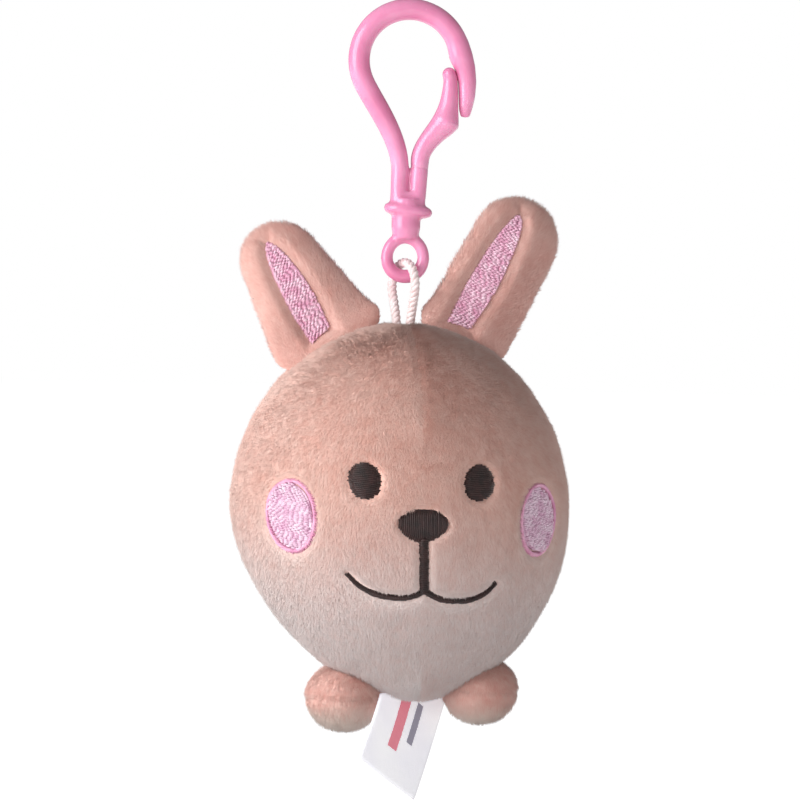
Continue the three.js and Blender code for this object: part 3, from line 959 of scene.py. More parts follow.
body_sides = [
    (round_ground(None, 0), face_gap),
    (round_ground(None, -CHEEK_ANGLE), cheek_gap),
    (round_ground(None, CHEEK_ANGLE), cheek_gap),
]


def body_stitch_gap(point):
    """Distance to the nearest embroidery anywhere on the body."""
    gaps = [9.0]
    for ground, gap in body_sides:
        u, v, near = ground.flat_place(point)
        if near:
            gaps.append(gap(u, v))
    return min(gaps)


# %% [markdown]
# Now the skin gets its fine relief. Seam lines and needlework are pressed in, the darts stand up in a low
# ridge, and the hole for the cord is a dimple in the crown. Each point of the skin also learns
# three things for the pile: how long the fibres are, which way they lie, and how pale they are. Round
# the stitches they stand up and look paler. Beside the darts the paleness is painted light and shade:
# the side toward the lamp is painted paler, the other side darker.

# %% Relief and pile directions
SEAM_DEPTH = 0.5
SEAM_WIDTH = 0.7
STITCH_DEPTH = 0.5
CORD_HOLE_R = 2.3
CORD_HOLE_DEPTH = 1.8
DART_SEAM_SHARE = 0.45  # the darts are sewn from inside and sink in less
DART_RIDGE = 0.85
DART_SPREAD = 4.0
DART_SHADE = 0.45  # painted light and shade: the side of a dart toward the lamp is painted paler, the other side darker


def smooth_noise(point, size, seed):
    return noise.noise((point + Vector((seed, 2 * seed, -seed)) * 17.3) / size)


def brushed(normal, nap, rise):
    """A fibre's direction from the way the pile is brushed and how steeply it stands."""
    along = nap - nap.dot(normal) * normal
    if along.length < 0.05:
        along = normal.orthogonal()
    return (along.normalized() * cos(rise) + normal * sin(rise)).normalized()


def ready_for_pile(bm, settle):
    """Moves the skin and stores on its points what the fibres need to know."""
    pile = bm.verts.layers.float.new("pile_length")
    pale = bm.verts.layers.float.new("pale")
    lie = bm.verts.layers.float_vector.new("lie")
    bm.normal_update()
    told = [settle(v.co.copy(), v.normal.copy()) for v in bm.verts]
    for v, (shift, length, paleness, direction) in zip(bm.verts, told):
        v.co += v.normal * shift
        v[pile] = length
        v[pale] = paleness
        v[lie] = direction
    bm.normal_update()
    return bm


def settle_body(point, normal):
    seam = exp(-(seam_distance(point) / SEAM_WIDTH) ** 2)
    gap = body_stitch_gap(point)
    pressed = 1 - smoothstep(-0.2, 1.3, gap)
    axis_distance = hypot(point.x, point.y)
    hole = 1 - smoothstep(1.2, CORD_HOLE_R, axis_distance) if point.z > BODY_Z else 0.0
    seam_share = DART_SEAM_SHARE if point.y < -3 else 1.0
    shift = -SEAM_DEPTH * seam * seam_share - STITCH_DEPTH * pressed - CORD_HOLE_DEPTH * hole
    shift += 0.18 * smooth_noise(point, 6.0, 1)
    near_dart = exp(-seam_distance(point) / DART_SPREAD) * smoothstep(0, -8, point.y)
    shift += DART_RIDGE * near_dart
    lit_side = 1 if point.x < sway(point.z) else -1
    halo = 1 - smoothstep(0.1, 2.0, gap)
    length = 0.0 if gap < 0.12 else 1.0 - 0.3 * halo - 0.25 * seam
    if axis_distance < CORD_HOLE_R and point.z > BODY_Z:
        length = 0.0
    nap = Vector((0.25 * smooth_noise(point, 9.0, 2), 0, -1))
    rise = radians(38 + 32 * halo + 12 * seam + 8 * smooth_noise(point, 4.0, 3))
    # painted light and shade: beside a dart the pile is paler on the lamp's side (lit_side) and darker on
    # the other
    paleness = 0.55 * halo + 0.25 * seam + DART_SHADE * lit_side * near_dart
    return shift, length, paleness, brushed(normal, nap, rise)


ready_for_pile(bm, settle_body)
body_tree = BVHTree.FromBMesh(bm)
zones = bm.faces.layers.int.new("zone")
for f in bm.faces:
    middle = f.calc_center_median()
    f[zones] = (middle.y > 0) + 2 * (middle.x > sway(middle.z)) + 4 * (middle.z > BODY_Z)
body_skin = made_piece(bm, "body_cover", body_ground)
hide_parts("face_panel", "back_panel_left", "back_panel_right")
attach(body_skin, "plush")
print("body cover triangles:", len(body_skin.data.polygons))

# %% [markdown]
# ## The pile
# Every fibre is a real little spike of three faces. A geometry nodes tree scatters them
# over the skin by area, leans each one the way the skin says, with small tufts and some disorder,
# and gives each a tint and a spot of its own in a colour map. The result is applied, so that what is
# left is plain mesh. The fibres' shading directions are turned toward the skin's, which gives the even
# look of velvet. About 320 thousand fibres make the body's coat, in eight patches.

# %% Pile tools
FIBRE_R = 0.072
MAP_CELLS = 256
VELVET_SHARE = 0.7


def fibre_mesh():
    bm = bmesh.new()
    bmesh.ops.create_cone(
        bm, segments=3, radius1=FIBRE_R * MM, radius2=0.0, depth=1.0, cap_ends=False
    )
    bmesh.ops.translate(bm, vec=(0, 0, 0.5), verts=bm.verts)
    bmesh.ops.remove_doubles(bm, verts=bm.verts, dist=1e-6)
    spot = bm.loops.layers.uv.new("OFBake")
    for f in bm.faces:
        low = [corner for corner in f.loops if corner.vert.co.z < 0.5]
        for corner in f.loops:
            corner[spot].uv = (0.5, 0.8)
        low[0][spot].uv = (0.2, 0.2)
        low[1][spot].uv = (0.8, 0.2)
    mesh = bpy.data.meshes.new("fibre")
    bm.to_mesh(mesh)
    bm.free()
    mesh.shade_smooth()
    fibre = bpy.data.objects.new("fibre", mesh)
    collection.objects.link(fibre)
    return fibre


def pile_tree(fibre, density, length, zone, seed):
    tree = bpy.data.node_groups.new("pile", "GeometryNodeTree")
    tree.interface.new_socket("Skin", in_out="INPUT", socket_type="NodeSocketGeometry")
    tree.interface.new_socket("Pile", in_out="OUTPUT", socket_type="NodeSocketGeometry")
    made = Nodes(tree)

    def kept(name, kind):
        node = made.add("GeometryNodeInputNamedAttribute", {"data_type": kind}, {"Name": name})
        return node.outputs["Attribute"]

    def stored(geometry, name, kind, domain, value):
        node = made.add(
            "GeometryNodeStoreNamedAttribute", {"data_type": kind, "domain": domain},
            {"Geometry": geometry, "Name": name, "Value": value},
        )
        return node.outputs["Geometry"]

    def vector_sum(first, second):
        return made.add("ShaderNodeVectorMath", {"operation": "ADD"}, {0: first, 1: second}).outputs[0]

    def scaled(vector, factor):
        return made.add(
            "ShaderNodeVectorMath", {"operation": "SCALE"}, {0: vector, "Scale": factor}
        ).outputs[0]

    skin = made.add("NodeGroupInput").outputs[0]
    in_zone = made.add(
        "FunctionNodeCompare", {"data_type": "INT", "operation": "EQUAL"},
        {"A": kept("zone", "INT"), "B": zone},
    ).outputs[0]
    long_enough = made.value(kept("pile_length", "FLOAT")) > 0.3
    scattered = made.add(
        "GeometryNodeDistributePointsOnFaces", {"distribute_method": "RANDOM"},
        {"Mesh": skin, "Selection": in_zone, "Density": long_enough * density, "Seed": seed},
    )
    points = scattered.outputs["Points"]
    under = scattered.outputs["Normal"]
    place = made.add("GeometryNodeInputPosition").outputs[0]
    tuft = made.add("ShaderNodeTexNoise", {}, {"Vector": place, "Scale": 620.0, "Detail": 1.0})
    wild = made.add(
        "FunctionNodeRandomValue", {"data_type": "FLOAT_VECTOR"},
        {"Min": (-1, -1, -1), "Max": (1, 1, 1), "Seed": seed + 1},
    ).outputs[0]
    tuft_way = scaled(vector_sum(tuft.outputs["Color"], (-0.5, -0.5, -0.5)), 0.7)
    way = vector_sum(vector_sum(kept("lie", "FLOAT_VECTOR"), tuft_way), scaled(wild, 0.3))
    turn = made.add("FunctionNodeAlignRotationToVector", {"axis": "Z"}, {"Vector": way}).outputs[0]
    chance = made.value(made.add(
        "FunctionNodeRandomValue", {"data_type": "FLOAT"}, {"Min": 0.0, "Max": 1.0, "Seed": seed + 2}
    ).outputs["Value"])
    shade = made.value(tuft.outputs["Fac"])
    # the skin's paleness carries painted light and shade beside the darts
    tint = chance * 0.5 + (shade - 0.5) * 0.9 + 0.3 + made.value(kept("pale", "FLOAT"))
    reach = (chance * 0.35 + 0.75) * made.value(kept("pile_length", "FLOAT")) * (length * MM)
    points = stored(points, "tint", "FLOAT", "POINT", tint)
    points = stored(points, "under", "FLOAT_VECTOR", "POINT", under)
    points = stored(points, "fibre", "INT", "POINT", made.add("GeometryNodeInputIndex").outputs[0])
    size = made.add("ShaderNodeCombineXYZ", {}, {"X": 1.0, "Y": 1.0, "Z": reach}).outputs[0]
    one = made.add("GeometryNodeObjectInfo", {}, {"Object": fibre}).outputs["Geometry"]
    grown = made.add(
        "GeometryNodeInstanceOnPoints", {},
        {"Points": points, "Instance": one, "Rotation": turn, "Scale": size},
    ).outputs[0]
    loose = made.add("GeometryNodeRealizeInstances", {}, {"Geometry": grown}).outputs[0]
    number = made.value(kept("fibre", "INT"))
    row = (number / MAP_CELLS).floor()
    cell = made.add("ShaderNodeCombineXYZ", {}, {"X": number % MAP_CELLS, "Y": row}).outputs[0]
    spot = scaled(vector_sum(kept("OFBake", "FLOAT_VECTOR"), cell), 1 / MAP_CELLS)
    mapped = stored(loose, "OFBake", "FLOAT2", "CORNER", spot)
    made.add("NodeGroupOutput", {}, {0: mapped})
    return tree


def shade_as_velvet(mesh):
    """Turns the fibres' shading directions most of the way to the skin's, as in close pile."""
    count = len(mesh.vertices)
    under = np.empty(count * 3, dtype=np.float32)
    own = np.empty(count * 3, dtype=np.float32)
    mesh.attributes["under"].data.foreach_get("vector", under)
    mesh.vertex_normals.foreach_get("vector", own)
    mixed = (under * VELVET_SHARE + own * (1 - VELVET_SHARE)).reshape(count, 3)
    mixed /= np.linalg.norm(mixed, axis=1, keepdims=True) + 1e-9
    mesh.normals_split_custom_set_from_vertices(mixed)


def grown_pile(skin, name, finish, density, length, zone, seed):
    """The pile on one zone of a skin, as its own plain mesh."""
    fibre = fibre_mesh()
    holder = bpy.data.objects.new(name, skin.data.copy())
    holder.data.materials.clear()
    collection.objects.link(holder)
    grow = holder.modifiers.new("grow", "NODES")
    grow.node_group = pile_tree(fibre, density / MM ** 2, length, zone, seed)
    mesh = applied(holder)
    mesh.name = name
    shade_as_velvet(mesh)
    for extra in ("lie", "pale", "pile_length", "fibre", "zone", "under"):
        found = mesh.attributes.get(extra)
        if found:
            mesh.attributes.remove(found)
    mesh.materials.clear()
    mesh.materials.append(finish)
    for used in (holder, fibre):
        shape = used.data
        bpy.data.objects.remove(used)
        bpy.data.meshes.remove(shape)
    pile = bpy.data.objects.new(name, mesh)
    collection.objects.link(pile)
    return pile


# %% The body's pile
BODY_PILE_DENSITY = 27.0
BODY_PILE_LENGTH = 1.2
body_fibres = 0
for zone in range(8):
    where = ("front", "back")[zone % 2], ("left", "right")[zone // 2 % 2], ("low", "high")[zone // 4]
    patch = grown_pile(
        body_skin, "pile_" + "_".join(where), body_fur, BODY_PILE_DENSITY, BODY_PILE_LENGTH, zone, 10 + zone
    )
    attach(patch, "plush")
    body_fibres += len(patch.data.polygons) // 3
print("fibres on the body:", body_fibres)

# %% [markdown]
# ## The ears
# Each ear is two flat pieces sewn together and lightly stuffed: straight sides, a round tip, and a
# seam round its edge. It starts as a ball that is cut in half at its waist and drawn out. The lower
# end would reach into the crown, so those points are set just under the crown's skin, where its pile
# hides the join. The stuffing is a slimmer, thinner copy of the same form.

# %% Ears
EAR_BASE_DEPTH = 2.6
EAR_FULL_DEPTH = 3.9
EAR_FULL_AT = 11.0
EAR_PILE = 0.6
EAR_PATCH_HALF = 2.8
EAR_PATCH_FROM = -0.3
EAR_PATCH_MARGIN = 4.0
EARS = {
    "left": {
        "hinge": (-14.9, 0, -58.3), "length": 23.8, "base": 11.2, "tip": 8.0,
        "lean": -31, "tilt": -16, "patch": -0.9, "inner": 1,
    },
    "right": {
        "hinge": (12.2, 0, -56.9), "length": 27.3, "base": 9.4, "tip": 8.7,
        "lean": 27.5, "tilt": -3, "patch": -2.0, "inner": -1,
    },
}
EAR_TURN = 6
EAR_FLARE = 0.8  # the inner edge runs out onto the crown
EAR_SUNK = -0.5  # its lower edge lies in the crown's pile
EAR_ROOT = 7.0  # how far it would reach into the crown


def ear_frame(ear):
    """From an ear's own measures (across, through, along) to the toy's."""
    turned = (
        Matrix.Rotation(radians(ear["lean"]), 4, "Y")
        @ Matrix.Rotation(radians(ear["tilt"]), 4, "X")
        @ Matrix.Rotation(radians(EAR_TURN), 4, "Z")
    )
    return Matrix.Translation(ear["hinge"]) @ turned


def ear_patch_half(ear, along):
    """Half width of the stitched inner ear, a leaf with a flat lower end."""
    share = (along - EAR_PATCH_FROM) / (ear["length"] - EAR_PATCH_MARGIN - EAR_PATCH_FROM)
    if not 0 <= share <= 1:
        return 0.0
    return EAR_PATCH_HALF * min(1.0, 0.82 + 0.6 * share) * (1 - share ** 3.2) ** 0.6


def ear_patch_gap(ear, u, v):
    top = ear["length"] - EAR_PATCH_MARGIN
    side = abs(u - ear["patch"]) - ear_patch_half(ear, min(top, max(EAR_PATCH_FROM, v)))
    return max(side, v - top, EAR_PATCH_FROM - v)


def pushed_out(bm, tree, gap):
    """Points inside another skin, or nearer than gap to it, come to rest on it."""
    for v in bm.verts:
        place, normal, face, distance = tree.find_nearest(v.co)
        if (v.co - place).dot(normal) < gap:
            v.co = place + normal * gap
    return bm


def ear_form(ear):
    bm = bmesh.new()
    bmesh.ops.create_uvsphere(bm, u_segments=96, v_segments=32, radius=1.0)
    straight = ear["length"] - ear["tip"]
    waist = [e for e in bm.edges if all(abs(v.co.z) < 1e-4 for v in e.verts)]
    bmesh.ops.split_edges(bm, edges=waist)
    upper = [v for v in bm.verts if sum(f.calc_center_median().z for f in v.link_faces) > 0]
    bmesh.ops.translate(bm, vec=(0, 0, 10.0), verts=upper)
    rims = [e for e in bm.edges if e.is_boundary]
    bridge = bmesh.ops.bridge_loops(bm, edges=rims)
    upright = [e for e in bridge["edges"] if abs(e.verts[0].co.z - e.verts[1].co.z) > 5]
    bmesh.ops.subdivide_edges(bm, edges=upright, cuts=24, use_grid_fill=True)
    for v in bm.verts:
        x, y, z = v.co
        if z > 9.999:
            v.co = (x * ear["tip"], y * EAR_FULL_DEPTH, straight + (z - 10) * ear["tip"])
        elif z < 0.001:
            v.co = (x * ear["base"], y * EAR_BASE_DEPTH, z * EAR_ROOT)
        else:
            share = z / 10
            half = ear["base"] + (ear["tip"] - ear["base"]) * share
            deep = smoothstep(0, EAR_FULL_AT, straight * share)
            depth = EAR_BASE_DEPTH + (EAR_FULL_DEPTH - EAR_BASE_DEPTH) * deep
            v.co = (x * half, y * depth, straight * share)
    for v in bm.verts:
        spread = smoothstep(3.5, -2.0, v.co.z)
        toward_middle = smoothstep(0, ear["base"], v.co.x * ear["inner"])
        v.co.x += ear["inner"] * EAR_FLARE * toward_middle * spread
    bmesh.ops.recalc_face_normals(bm, faces=bm.faces)
    bmesh.ops.subdivide_edges(bm, edges=bm.edges, cuts=1, use_grid_fill=True)
    return bm


def ear_relief(ear):
    """Settles one ear in its own measures: edge seam, pressed-in patch and pile."""
    down = ear_frame(ear).to_3x3().inverted() @ Vector((0, 0, -1))

    def settle(point, normal):
        along = point.z
        seam = exp(-(point.y / 0.55) ** 2) * smoothstep(-1, 2, along)
        gap = ear_patch_gap(ear, point.x, along) if point.y < 0 else 9.0
        pressed = 1 - smoothstep(-0.3, 2.4, gap)
        shift = -EAR_PILE - 0.55 * seam - 1.15 * pressed + 0.12 * smooth_noise(point, 5.0, 4)
        halo = 1 - smoothstep(0.1, 1.6, gap)
        length = 0.0 if gap < 0.1 else 1.0 - 0.35 * halo - 0.2 * seam
        length *= 0.45 + 0.55 * smoothstep(-0.5, 2.5, along)
        rise = radians(34 + 25 * halo + 20 * seam + 8 * smooth_noise(point, 4.0, 5))
        nap = Vector((0.3 * smooth_noise(point, 7.0, 6), 0, 1)) + down * 0.3
        return shift, length, 0.3 * halo + 0.2 * seam, brushed(normal, nap, rise)

    return settle


STUFFING_WIDTH = 0.8
STUFFING_DEPTH = 0.28
STUFFING_LENGTH = 0.86
STUFFING_FROM = 1.7
EAR_BEND = (-1.2, 3.2)  # along the ear, where it turns from crown to ear
EAR_PILE_DENSITY = 20.0
EAR_PILE_LENGTH = 1.15


def ear_core(ear):
    bm = ear_form(ear)
    for v in bm.verts:
        x, y, z = v.co
        height = STUFFING_FROM + STUFFING_LENGTH * max(z, z / EAR_ROOT)
        v.co = (x * STUFFING_WIDTH, y * STUFFING_DEPTH, height)
    bmesh.ops.transform(bm, matrix=ear_frame(ear), verts=bm.verts)
    return bm


def bends_with_ear(part, side):
    """Bakes a piece's placement into its mesh; the points where the ear turns from crown to ear are worked
    out but not used.
    """
    place = ear_frame(EARS[side])
    bend_start, bend_end = [(place @ Vector((0, 0, h))) * MM for h in EAR_BEND]
    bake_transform(part)
    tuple(bend_start)
    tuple(bend_end)


ear_grounds = {}
for side, ear in EARS.items():
    place = ear_frame(ear)
    bm = ready_for_pile(ear_form(ear), ear_relief(ear))
    turned = place.to_3x3()
    lie = bm.verts.layers.float_vector["lie"]
    for v in bm.verts:
        v[lie] = turned @ v[lie]
    bmesh.ops.transform(bm, matrix=place, verts=bm.verts)
    pushed_out(bm, body_tree, EAR_SUNK)
    bm.normal_update()
    stuffing = made_piece(ear_core(ear), f"ear_stuffing_{side}", filling_fibre)
    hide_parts(f"ear_filling_{side}")
    ear_grounds[side] = Ground(
        BVHTree.FromBMesh(bm), ear["hinge"], turned.col[0], turned.col[2]
    )
    bm.faces.layers.int.new("zone")
    skin = made_piece(bm, f"ear_cover_{side}", ear_ground)
    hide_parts(f"ear_front_{side}", f"ear_back_{side}")
    pile = grown_pile(
        skin, f"ear_pile_{side}", ear_fur, EAR_PILE_DENSITY, EAR_PILE_LENGTH, 0, 40 + len(side)
    )
    for part in (skin, pile, stuffing):
        bends_with_ear(part, side)
    print("ear", side, "fibres:", len(pile.data.polygons) // 3)

# %% [markdown]
# ## The feet
# Two small stuffed pads sit under the body, each with a seam round its middle. The body rests on
# them, so their tops follow its underside. Their pile is pinker above and pale at the toes.

# %% Feet
FOOT_RADII = (7.4, 7.2, 6.4)
FOOT_PILE = 0.55
FEET = {"left": (-9.9, -2.5, -125.5), "right": (15.6, -2.5, -123.9)}
FOOT_PILE_LENGTH = 1.2


def foot_relief(centre):
    def settle(point, normal):
        away = point - centre
        seam = exp(-(away.z / 0.6) ** 2)
        toe = smoothstep(-1.5, -5.5, away.z)
        shift = -0.4 * seam + 0.15 * smooth_noise(point, 4.0, 7)
        nap = Vector((0.2 * smooth_noise(point, 6.0, 8), -0.2, -1))
        rise = radians(24 + 22 * toe + 15 * seam)
        return shift, 1.0 + 0.25 * toe, 0.25 * toe + 0.15 * seam, brushed(normal, nap, rise)

    return settle


for side, middle in FEET.items():
    middle = Vector(middle)
    bm = bmesh.new()
    bmesh.ops.create_icosphere(bm, subdivisions=6, radius=1.0)
    bmesh.ops.scale(bm, vec=[r - FOOT_PILE for r in FOOT_RADII], verts=bm.verts)
    bmesh.ops.translate(bm, vec=middle, verts=bm.verts)
    pushed_out(bm, body_tree, 0.08)
    ready_for_pile(bm, foot_relief(middle))
    bm.faces.layers.int.new("zone")
    skin = made_piece(bm, f"foot_cover_{side}", foot_ground)
    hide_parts(f"foot_upper_{side}", f"foot_lower_{side}")
    pile = grown_pile(
        skin, f"foot_pile_{side}", foot_fur, EAR_PILE_DENSITY, FOOT_PILE_LENGTH, 0, 50 + len(side)
    )
    for part in (skin, pile):
        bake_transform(part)
    print("foot", side, "fibres:", len(pile.data.polygons) // 3)

# %% [markdown]
# ## Embroidery
# A stitch is a short length of thread that dives into the cloth at both ends. Satin stitches lie
# side by side across the narrow shapes. Wide shapes are filled with rows of short stitches set like
# bricks. Every thread here is a real tube, over a thin pad of padding stitches of the same colour.

# %% Stitching tools
THREAD_R = 0.2
THREAD_STEP = 0.33


def stitch(ground, start, end, lift, dive=0.25, points=5):
    """One thread from a flat point to another, arched over the cloth."""
    run = []
    for i in range(points):
        t = i / (points - 1)
        arch = 1 - abs(2 * t - 1) ** 4
        u = start[0] + (end[0] - start[0]) * t
        v = start[1] + (end[1] - start[1]) * t
        run.append((ground.lay(u, v, -dive + (lift + dive) * arch), THREAD_R))
    return run


def satin_rows(ground, half_at, low, high, centre=0.0, slant=0.0, ragged=0.2, lift=0.55, seed=1):
    """Threads side by side across a shape, from its lower to its upper end."""
    chance = random.Random(seed)
    runs = []
    for i in range(int((high - low) / THREAD_STEP) + 1):
        v = low + i * THREAD_STEP
        half = half_at(v)
        if half < 0.25:
            continue
        middle = centre(v) if callable(centre) else centre
        a = middle - half + chance.uniform(-ragged, ragged * 0.4)
        b = middle + half + chance.uniform(-ragged * 0.4, ragged)
        runs.append(stitch(
            ground, (a, v - slant * half), (b, v + slant * half), lift + chance.uniform(-0.05, 0.05)
        ))
    return runs


def brick_rows(ground, half_at, low, high, centre, slant, length, lift, seed):
    """Rows of short stitches, each row set off from the last, that fill a wide shape."""
    chance = random.Random(seed)
    runs = []
    for i in range(int((high - low) / THREAD_STEP) + 1):
        v = low + i * THREAD_STEP
        half = half_at(v)
        if half < 0.3:
            continue
        at = -half - length * chance.uniform(0.0, 0.15) + length * ((i * 0.37) % 1.0 - 1.0)
        while at < half:
            step = length * chance.uniform(0.85, 1.15)
            a, b = max(at, -half), min(at + step, half)
            if b - a > 0.25:
                wobble = chance.uniform(-0.07, 0.07)
                rise = lift + chance.uniform(-0.08, 0.1)
                runs.append(stitch(
                    ground, (centre + a, v + slant * a + wobble), (centre + b, v + slant * b + wobble),
                    rise, 0.12, 4,
                ))
            at += step
    return runs


def padding(ground, outline, centre, depth=0.22):
    """A thin closed pad under the threads; outline gives the reach at an angle."""
    bm = bmesh.new()
    bmesh.ops.create_uvsphere(bm, u_segments=40, v_segments=10, radius=1.0)
    for v in bm.verts:
        x, y, z = v.co
        reach = hypot(x, y)
        u, w = outline(atan2(y, x))
        v.co = ground.lay(centre[0] + u * reach, centre[1] + w * reach, 0.12 + z * depth)
    bmesh.ops.recalc_face_normals(bm, faces=bm.faces)
    return bm


def sewn(name, runs, pads, finish, replaced=()):
    """Threads and their padding as one piece."""
    bm = swept(name, runs)
    for pad in pads:
        mesh = bpy.data.meshes.new("pad")
        pad.to_mesh(mesh)
        pad.free()
        bm.from_mesh(mesh)
        bpy.data.meshes.remove(mesh)
    made = made_piece(bm, name, finish)
    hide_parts(*replaced)
    print(name, "stitches:", len(runs), "triangles:", len(made.data.polygons) * 2)
    return made


face = round_ground(body_tree, 0)

# %% Eyes
for side, sign in (("left", -1), ("right", 1)):
    at = sign * EYE_X

    def eye_half(v):
        t = (v - EYE_SPOT_Z) / EYE_HALF[1]
        flare = 1 - 0.1 * t if sign > 0 else 1 + 0.05 * t
        return EYE_HALF[0] * flare * max(0.0, 1 - abs(t) ** 2.3) ** 0.5

    runs = satin_rows(
        face, eye_half, EYE_SPOT_Z - EYE_HALF[1] + 0.05, EYE_SPOT_Z + EYE_HALF[1] - 0.05,
        centre=at, slant=0.06 * sign, ragged=0.28, seed=60 + sign,
    )
    pad = padding(
        face, lambda a: ((EYE_HALF[0] - 0.15) * cos(a), (EYE_HALF[1] - 0.15) * sin(a)), (at, EYE_SPOT_Z)
    )
    eye = sewn(f"eye_stitches_{side}", runs, [pad], dark_thread, [f"eye_{side}"])
    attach(eye, "plush")

# %% Nose and the line below it
def nose_columns():
    """Upright threads across the nose; each runs from its lower edge to its upper edge."""
    chance = random.Random(71)
    heights = [i * 0.05 for i in range(-70, 60)]
    runs = []
    for i in range(-14, 15):
        u = i * THREAD_STEP
        inside = [h for h in heights if width_from(NOSE_SHAPE, h) > abs(u)]
        if inside:
            low = NOSE_Z + min(inside) + chance.uniform(-0.25, 0.05)
            high = NOSE_Z + max(inside) + chance.uniform(-0.05, 0.18)
            runs.append(stitch(face, (u, low), (u + 0.05, high), 0.6 + chance.uniform(-0.05, 0.05), 0.25, 6))
    return runs


def nose_reach(angle):
    """The nose's outline at an angle, a little inside its edge."""
    step = 0.05
    reach = step
    while abs(reach * cos(angle)) < width_from(NOSE_SHAPE, reach * sin(angle)) - 0.2:
        reach += step
    return reach * cos(angle), reach * sin(angle)


line_runs = satin_rows(
    face, lambda v: PHILTRUM_HALF, PHILTRUM[1], PHILTRUM[0], centre=lambda v: sway(v) * 0.9,
    slant=0.12, ragged=0.12, lift=0.5, seed=72,
)
line_core = [[
    (face.lay(sway(v) * 0.9, v, 0.05), 0.55)
    for v in [PHILTRUM[1] + (PHILTRUM[0] - PHILTRUM[1]) * i / 14 for i in range(15)]
]]
nose = sewn(
    "nose_stitches", nose_columns() + line_runs + line_core,
    [padding(face, nose_reach, (0, NOSE_Z))], dark_thread, ["nose"],
)
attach(nose, "plush")

# %% Mouth
def stitches_along(ground, line, stroke, lean, lift, seed, step=THREAD_STEP):
    """Short satin stitches across a drawn line."""
    chance = random.Random(seed)
    runs = []
    carried = 0.0
    whole = sum(hypot(b[0] - a[0], b[1] - a[1]) for a, b in zip(line, line[1:]))
    gone = 0.0
    for (ax, az), (bx, bz) in zip(line, line[1:]):
        length = hypot(bx - ax, bz - az)
        along = ((bx - ax) / length, (bz - az) / length)
        while carried < length:
            share = (gone + carried) / whole
            half = stroke(share) / 2 + chance.uniform(-0.04, 0.1)
            u, v = ax + along[0] * carried, az + along[1] * carried
            across = (-along[1] + lean * along[0], along[0] + lean * along[1])
            runs.append(stitch(
                ground, (u - across[0] * half, v - across[1] * half),
                (u + across[0] * half, v + across[1] * half), lift, 0.2, 4,
            ))
            carried += step
        carried -= length
        gone += length
    return runs


def mouth_stroke(share):
    """Full at the middle of each curve, and thinner toward the corners."""
    return MOUTH_STROKE * (0.55 + 0.45 * smoothstep(0.0, 0.22, min(share, 1 - share)))


mouth_runs = stitches_along(face, mouth_line, mouth_stroke, 0.5, 0.45, 81)
mouth_runs.append([(face.lay(u, v, 0.05), 0.25) for u, v in mouth_line])
mouth = sewn("mouth_stitches", mouth_runs, [], dark_thread, ["mouth"])
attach(mouth, "plush")

# %% Cheeks
FILL_STITCH = 1.05
for side, sign in (("left", -1), ("right", 1)):
    ground = round_ground(body_tree, sign * CHEEK_ANGLE)

    def cheek_half(v):
        t = (v - CHEEK_Z) / CHEEK_HALF[1]
        return CHEEK_HALF[0] * max(0.0, 1 - t * t) ** 0.5

    fill = brick_rows(
        ground, cheek_half, CHEEK_Z - CHEEK_HALF[1], CHEEK_Z + CHEEK_HALF[1], 0.0,
        -0.22, FILL_STITCH, 0.5, 90 + sign,
    )
    pad = padding(
        ground, lambda a: ((CHEEK_HALF[0] - 0.1) * cos(a), (CHEEK_HALF[1] - 0.1) * sin(a)), (0, CHEEK_Z)
    )
    cheek = sewn(f"cheek_stitches_{side}", fill, [pad], lilac_thread, [f"cheek_{side}"])
    ring_half = (CHEEK_HALF[0] + OUTLINE_GAP, CHEEK_HALF[1] + OUTLINE_GAP)
    ring = [
        (ring_half[0] * cos(a * pi / 40), CHEEK_Z + ring_half[1] * sin(a * pi / 40))
        for a in range(81)
    ]
    outline = stitches_along(ground, ring, lambda share: 0.85, 1.6, 0.5, 95 + sign, step=0.5)
    edge = sewn(
        f"cheek_edge_stitches_{side}", outline, [], rim_thread, [f"cheek_outline_{side}"]
    )
    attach(cheek, "plush")
    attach(edge, "plush")

# %% Inner ears
for side, ear in EARS.items():
    ground = ear_grounds[side]
    top = ear["length"] - EAR_PATCH_MARGIN
    fill = brick_rows(
        ground, lambda v: ear_patch_half(ear, v), EAR_PATCH_FROM, top, ear["patch"], 0.3, 0.95, 0.5,
        100 + len(side),
    )

    def leaf_reach(angle):
        step = 0.1
        reach = step
        middle = (EAR_PATCH_FROM + top) / 2
        while (
            abs(reach * cos(angle)) < ear_patch_half(ear, middle + reach * sin(angle)) - 0.1
            and reach < 14
        ):
            reach += step
        return reach * cos(angle), reach * sin(angle)

    pad = padding(ground, leaf_reach, (ear["patch"], (EAR_PATCH_FROM + top) / 2))
    inner = sewn(
        f"inner_ear_stitches_{side}", fill, [pad], pink_thread, [f"ear_embroidery_{side}"]
    )
    bends_with_ear(inner, side)

# %% Closing stitch at the back
CLOSING = (-98.0, -113.0)
back = round_ground(body_tree, 180)
ladder = []
chance = random.Random(111)
height = CLOSING[0]
while height > CLOSING[1]:
    centre = -sway(height)
    ladder.append(stitch(
        back, (centre - 0.75, height), (centre + 0.75, height - 0.5 + chance.uniform(-0.1, 0.1)), 0.8, 0.3, 5
    ))
    height -= 1.25
closing = sewn("closing_stitches", ladder, [], peach_thread, ["closing_stitch"])
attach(closing, "plush")

# %% [markdown]
# ## The tag
# A satin ribbon is folded in two and caught in the seam under the body. It hangs turned, so its lower
# edge slopes. A flat grid is laid round the fold and then along the tag's own two directions, with a
# slight curl. A solidify modifier gives the ribbon its thickness.

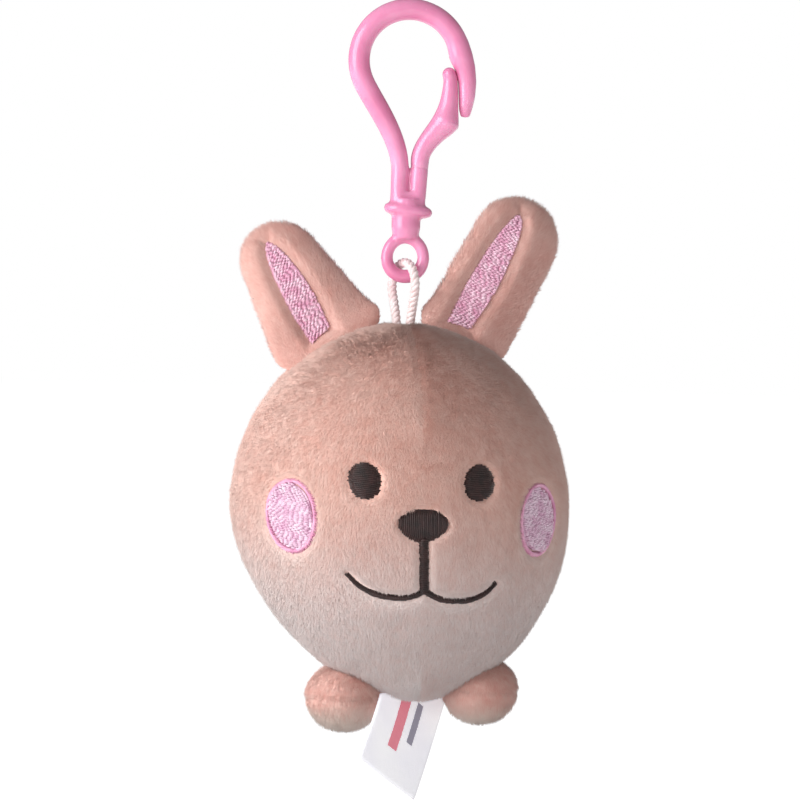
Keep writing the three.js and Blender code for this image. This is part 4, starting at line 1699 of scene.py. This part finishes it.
# %% Tag
TAG_CORNER = Vector((3.1, -5.0, -144.4))
TAG_UP = Vector((0.339, 0.451, 0.825)).normalized()
TAG_LEFT = Vector((-0.708, -0.451, 0.541)).normalized()
TAG_WIDTH = 16.1
TAG_LENGTH = 26.0
TAG_FOLD_R = 0.2
TAG_TRIM_Z = -124.6
RIBBON_THICKNESS = 0.13
tag_out = TAG_UP.cross(TAG_LEFT).normalized()
if tag_out.y > 0:
    tag_out.negate()
bm = bmesh.new()
bmesh.ops.create_grid(bm, x_segments=22, y_segments=120, size=0.5)
flat_measure = bm.loops.layers.uv.new("ribbon")
turn_length = pi * TAG_FOLD_R
for f in bm.faces:
    for corner in f.loops:
        corner[flat_measure].uv = (
            -corner.vert.co.x * TAG_WIDTH * MM,
            -(abs(corner.vert.co.y) * 2 * TAG_LENGTH) * MM,
        )
for v in bm.verts:
    across = (v.co.x + 0.5) * TAG_WIDTH
    along = v.co.y * 2 * TAG_LENGTH
    if abs(along) < turn_length / 2:
        angle = along / TAG_FOLD_R
        rise = TAG_FOLD_R * (1 - cos(angle))
        out = -TAG_FOLD_R * sin(angle)
    else:
        rise = abs(along) - turn_length / 2 + TAG_FOLD_R
        out = -TAG_FOLD_R if along > 0 else TAG_FOLD_R
    curl = 0.9 * (across / TAG_WIDTH - 0.5) ** 2 * (1 - rise / TAG_LENGTH)
    curl += 0.35 * sin(rise / TAG_LENGTH * 5.0) * (0.3 + across / TAG_WIDTH)
    v.co = TAG_CORNER + TAG_LEFT * across + TAG_UP * rise + tag_out * (out + curl)
whole_ribbon = bm.verts[:] + bm.edges[:] + bm.faces[:]
bmesh.ops.bisect_plane(
    bm, geom=whole_ribbon, plane_co=(0, 0, TAG_TRIM_Z), plane_no=(0, 0, 1), clear_outer=True
)
tag_area = sum(f.calc_area() for f in bm.faces)
tag = made_piece(bm, "tag_ribbon", tag_satin)
thicken = tag.modifiers.new("thickness", "SOLIDIFY")
thicken.thickness = RIBBON_THICKNESS * MM
thicken.offset = 0.0
thick = applied(tag)
tag.modifiers.clear()
tag.data = thick
tag_area * MM ** 2
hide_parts("label")
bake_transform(tag)
print("tag area in square mm:", round(tag_area, 1))

# %% [markdown]
# ## What stays from the frame
# The knot and the stuffing are inside. They keep their plain shapes, with finishes of their own.

# %% Inner parts
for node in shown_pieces():
    if "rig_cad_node" in node and not node.hide_render:
        inner = cord_nylon if "knot" in node.name else filling_fibre
        for material_slot in node.material_slots:
            material_slot.material = inner
        print("kept:", node.name)
